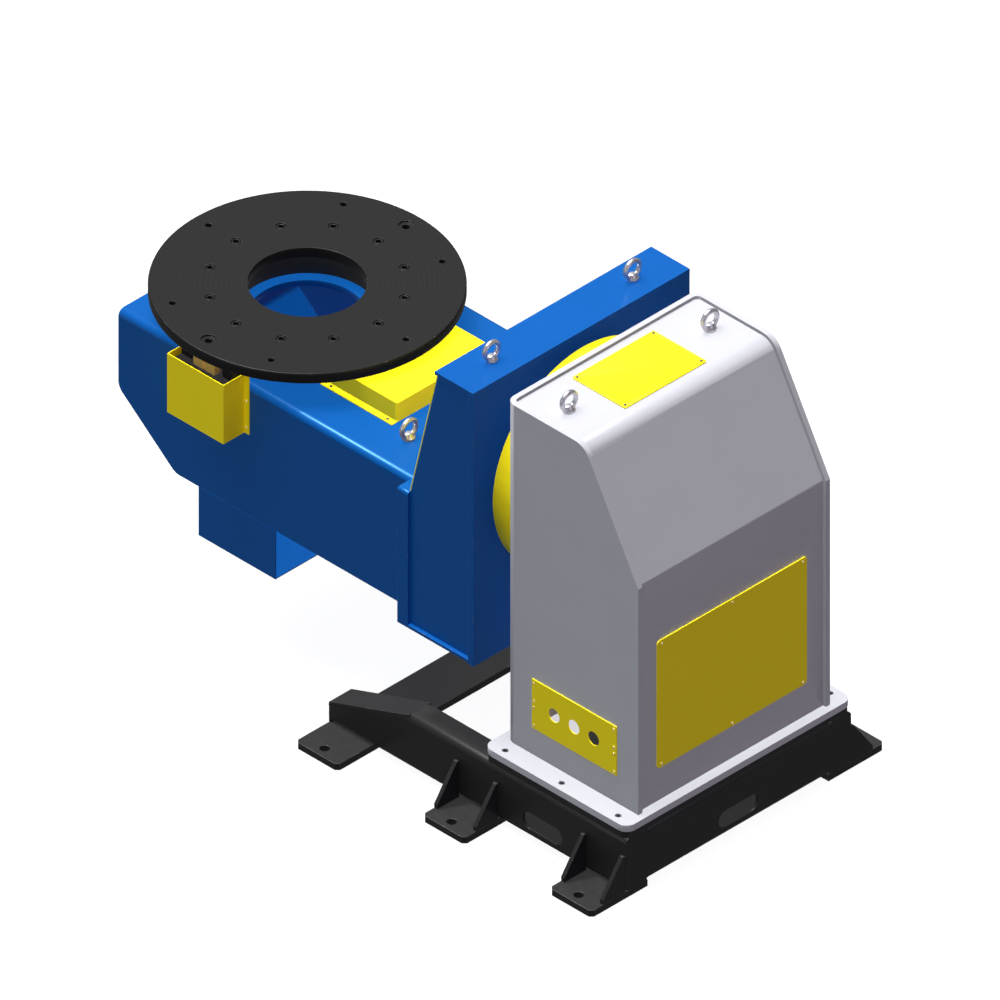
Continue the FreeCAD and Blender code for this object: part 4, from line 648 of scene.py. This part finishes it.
shell = cad_copy("arm_top_plate", "arm_side_left", "arm_side_right")
bend_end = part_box("arm_side_left")[1][2]
bpy.ops.object.mode_set(mode="EDIT")
bpy.ops.mesh.select_mode(type="FACE")
bpy.ops.mesh.select_all(action="DESELECT")
bpy.ops.object.mode_set(mode="OBJECT")
for face in shell.data.polygons:
    face.select = abs(face.center.z - bend_end) < 0.0001 and abs(face.normal.z) > 0.9
bpy.ops.object.mode_set(mode="EDIT")
bpy.ops.mesh.delete(type="FACE")
bpy.ops.mesh.select_mode(type="VERT")
bpy.ops.object.mode_set(mode="OBJECT")
coat(shell, blue_paint)
ease_edges(shell, 0.0012, 2)
dress(shell, "arm_shell_finished", "arm", "blue_paint",
      "arm_top_plate", "arm_side_left", "arm_side_right")
shell.visible_glossy = False
trough = coat(cad_copy("arm_trough"), blue_paint)
WALL_THINNER = 0.0085
for side in (-1, 1):
    pull(trough, lambda co: 0.300 < side * co.y < 0.315, (0, WALL_THINNER * side, 0))
pull(trough, lambda co: 0.285 < co.z < 0.300, (0, 0, -WALL_THINNER))
pull(trough, lambda co: -1.060 < co.x < -1.050, (-WALL_THINNER, 0, 0))
ease_edges(trough, 0.0008, 2)
dress(trough, "arm_trough_finished", "arm", "blue_paint", "arm_trough")
belly = broken_edges("arm_belly_plate", "arm", blue_paint, "blue_paint")
belly.visible_glossy = False


# Yellow covers on the arm over the table's pinion and its brush unit: 3 mm sheet,
# screwed on by flanges. Four lifting eyes stand on arm and upright. The pinion's
# cover throws no glow on the table.

SHEET = 0.003
broken_edges("brush_box", "arm", yellow_paint, "yellow_paint", 0.0007)
hood = broken_edges("pinion_cover", "arm", yellow_paint, "yellow_paint", 0.0007)
hood.visible_diffuse = False
hood.visible_glossy = False
arm_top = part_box("arm_top_plate")[1][2]
hood_spots = [upright_at(x, y, arm_top + SHEET) for x in (-0.736, -0.536)
              for y in inset("pinion_cover", 1, 0.0095)]
dress(coat(set_out(cover_screw(), hood_spots), black_screw),
      "pinion_cover_screws_finished", "arm", "black_screws", "arm_cover_screws")
arm_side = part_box("brush_box")[1][1]
box_spots = [Matrix.Translation((x, arm_side - SHEET, z)) @ facing_right
             for x in inset("brush_box", 0, 0.008) for z in (0.700, 0.780)]
dress(coat(set_out(cover_screw(), box_spots), yellow_zinc),
      "brush_box_screws_finished", "arm", "zinc_screws")
upright_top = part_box("upright_top_plate")[1][2]
eye_spots = [upright_at(-0.442, y, arm_top) for y in (-0.2, 0.2)]
eye_spots += [upright_at(-0.0995, y, upright_top) for y in (-0.25, 0.25)]
dress(coat(set_out(lifting_eye(), eye_spots), forged_zinc),
      "arm_lifting_eyes_finished", "arm", "zinc_screws", "arm_lifting_eyes")


# Table ring and drive: the same ring, pinion, gearbox and motor as for the tilt,
# with their axes upright.

broken_edges("table_fixed_ring", "arm", ring_steel, "ring_steel", 0.0008)
broken_edges("table_gear_ring", "table", gear_steel, "ring_steel", 0.0006, 1)
broken_edges("table_fixed_ring_bolts", "arm", black_screw, "black_screws", 0.0008)
ARM_WALL = 0.018
table_axis, ring_seat = middle("table_fixed_ring").x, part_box("table_fixed_ring")[0][2]
drive_beside_ring = Matrix.Translation((table_axis + CENTRE_DISTANCE, 0, ring_seat))
dress(set_at(gearbox(ARM_WALL), drive_beside_ring), "table_gearbox", "arm",
      "reducer_metal", "table_reducer")
dress(set_at(servo_motor(ARM_WALL), drive_beside_ring), "table_motor", "arm",
      "motor_metal", "table_servo_motor")
broken_edges("table_pinion", "table_pinion", gear_steel, "ring_steel", 0.0006, 1)


# Brush unit: two copper-graphite blocks in a black laminate holder press on the
# table's underside and lead the welding current back to the arm. Under each sits
# the roll of a strip spring, which goes up and down with its brush.

laminate = painted("black laminate", (0.013, 0.011, 0.014), 0.55, uneven=0.2)
bronze = metal("sintered bronze", (0.85, 0.60, 0.17), 0.52, grain=900.0, depth=0.0002,
               uneven=0.35, metallic=0.15)
spring_steel = metal("spring strip", (0.50, 0.50, 0.52), 0.25)
broken_edges("brush_holder", "arm", laminate, "holder_plastic", 0.0010)
for brush in ("brush_front", "brush_rear"):
    broken_edges(brush, brush, bronze, "brush_bronze", 0.0006)
STRIP_WIDTH = 0.014
ROLL_START, ROLL_PITCH, ROLL_TURNS, TURN_STEPS = 0.0050, 0.001, 3, 24


def spring_strip(spots):
    """Steel strip bent from spot to spot, its width along y."""
    bpy.ops.object.select_all(action="DESELECT")
    bpy.ops.mesh.primitive_plane_add(size=0.001)
    bpy.ops.object.mode_set(mode="EDIT")
    bpy.ops.mesh.select_all(action="SELECT")
    bpy.ops.mesh.merge(type="CENTER")
    bpy.ops.transform.translate(value=spots[0])
    for spot, next_spot in zip(spots, spots[1:]):
        bpy.ops.mesh.extrude_region_move(
            TRANSFORM_OT_translate={"value": next_spot - spot})
    bpy.ops.mesh.select_all(action="SELECT")
    bpy.ops.mesh.extrude_region_move(
        TRANSFORM_OT_translate={"value": (0, STRIP_WIDTH, 0)})
    bpy.ops.object.mode_set(mode="OBJECT")
    strip = bpy.context.object
    gauge = strip.modifiers.new("Gauge", "SOLIDIFY")
    gauge.thickness = 0.0006
    gauge.offset = 0
    apply_modifiers(strip)
    bpy.ops.object.shade_smooth_by_angle(angle=math.radians(35))
    return coat(strip, spring_steel)


for brush in ("front", "rear"):
    low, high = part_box("brush_spring_" + brush)
    core = middle("brush_spring_" + brush) - Vector((0, STRIP_WIDTH / 2, 0))
    core.z = high[2] - 0.0083
    roll = []
    for step in range(ROLL_TURNS * TURN_STEPS + 1):
        spoke = Vector((ROLL_START + ROLL_PITCH * step / TURN_STEPS, 0, 0))
        roll.append(core + Matrix.Rotation(-math.tau * step / TURN_STEPS, 3, "Y") @ spoke)
    dress(spring_strip(roll), "brush_spring_roll_" + brush, "brush_" + brush,
          "spring_steel")
    tail_top = core + Vector((0.0087, 0, 0))
    tail_end = Vector((tail_top.x, tail_top.y, low[2] + 0.0003))
    dress(spring_strip([tail_top, tail_end]), f"brush_spring_{brush}_finished", "arm",
          "spring_steel", "brush_spring_" + brush)


# Table: one 30 mm disc, turned on both faces, blackened and oiled. Twelve M16
# socket screws in counterbores hold it on the ring.

BOLT_CIRCLE = 0.2525
TABLE_COUNTERBORE = 0.017
RECESS_DEEPER = 0.003
black_steel = painted("blackened table steel", (0.0075, 0.0075, 0.008), 0.38)
for layer in black_steel:
    nodes, links = layer.node_tree.nodes, layer.node_tree.links
    centred = nodes.new("ShaderNodeMapping")
    centred.inputs["Location"].default_value = (-table_axis, 0, 0)
    links.new(nodes["Texture Coordinate"].outputs["Object"], centred.inputs["Vector"])
    tool_marks = nodes.new("ShaderNodeTexWave")
    tool_marks.wave_type = "RINGS"
    tool_marks.rings_direction = "Z"
    tool_marks.inputs["Scale"].default_value = 24.0
    tool_marks.inputs["Distortion"].default_value = 2.5
    tool_marks.inputs["Detail Scale"].default_value = 4.0
    links.new(centred.outputs["Vector"], tool_marks.inputs["Vector"])
    links.new(ranged(nodes, links, tool_marks.outputs["Fac"], 0.375, 0.40),
              nodes["Principled BSDF"].inputs["Roughness"])
table = coat(cad_copy("table_plate"), black_steel)
pull(table, lambda co: 0.927 < co.z < 0.929, (0, 0, -RECESS_DEEPER))
ease_edges(table, 0.0008, 2)
dress(table, "table_plate_finished", "table", "table_steel", "table_plate")
bolt_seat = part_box("table_plate")[1][2] - TABLE_COUNTERBORE
bolt_spots = [upright_at(table_axis + BOLT_CIRCLE * math.cos(math.radians(30 * step)),
                         BOLT_CIRCLE * math.sin(math.radians(30 * step)),
                         bolt_seat, 47 * step) for step in range(12)]
table_bolts = set_out(socket_screw(head=0.024, height=0.016, key_size=0.014, shank=0.016,
                                   length=0.033, ease=0.0010), bolt_spots)
dress(coat(table_bolts, [black_steel[0]] * 2), "table_bolts_finished", "table",
      "black_screws", "table_bolts")


# Floor, light and camera: a pale floor, a broad light and an even one from above, a
# glint for the edges and two weak fills. The camera looks down the photograph's
# parallel isometric view.

bpy.ops.object.select_all(action="DESELECT")
bpy.ops.mesh.primitive_plane_add(size=60, location=(0, 0, -0.0005))
floor = bpy.context.object
floor.name = "floor"
floor.visible_diffuse = False
floor.visible_glossy = False
pale = bpy.data.materials.new("pale floor")
pale.use_nodes = True
pale_shader = pale.node_tree.nodes["Principled BSDF"]
pale_shader.inputs["Base Color"].default_value = (0.35, 0.35, 0.35, 1)
pale_shader.inputs["Roughness"].default_value = 0.9
pale_shader.inputs["Emission Color"].default_value = (1, 1, 1, 1)
pale_shader.inputs["Emission Strength"].default_value = 0.47
floor.data.materials.append(pale)


def studio_light(name, towards, energy, spread, shadows, colour=(1, 1, 1),
                 glint=False):
    """A far lamp; a glint shows only as shine on edges, bends and screws."""
    bpy.ops.object.light_add(type="SUN", location=(-2, 1, 6))
    lamp = bpy.context.object
    lamp.visible_diffuse = not glint
    lamp.name = name
    lamp.data.energy = energy
    lamp.data.angle = math.radians(spread)
    lamp.data.color = colour
    lamp.data.use_shadow = shadows
    lamp.rotation_euler = Vector(towards).to_track_quat("Z", "Y").to_euler()


FROM_ABOVE = (-0.36, -0.04, 1)
studio_light("overhead", FROM_ABOVE, energy=1.6, spread=45, shadows=True)
studio_light("even light", FROM_ABOVE, energy=4.4, spread=30, shadows=False)
studio_light("edge glint", FROM_ABOVE, energy=9.0, spread=6, shadows=True, glint=True)
studio_light("front fill", (0.05, -1, 0.25), energy=0.32, spread=15, shadows=False,
             colour=(0.88, 0.96, 1.08))
studio_light("side fill", (1, -0.05, 0.25), energy=0.36, spread=40, shadows=False,
             colour=(1.04, 0.78, 1.06))

world = bpy.data.worlds.new("studio")
bpy.context.scene.world = world
world.use_nodes = True
world.node_tree.nodes["Background"].inputs["Color"].default_value = (0.96, 0.97, 1.0, 1)
world.node_tree.nodes["Background"].inputs["Strength"].default_value = 0.20

VIEW_WIDTH = 2.5062
AIM = Vector((-0.319, 0, 0.6026))
AROUND, DOWN = math.radians(45), math.radians(35.264)
away = Vector((math.cos(DOWN) * math.sin(AROUND), -math.cos(DOWN) * math.cos(AROUND),
               math.sin(DOWN)))
bpy.ops.object.camera_add(location=AIM + away * 8)
camera = bpy.context.object
camera.data.type = "ORTHO"
camera.data.ortho_scale = VIEW_WIDTH
camera.rotation_euler = away.to_track_quat("Z", "Y").to_euler()
bpy.context.scene.camera = camera
bpy.context.scene.view_settings.view_transform = "Standard"
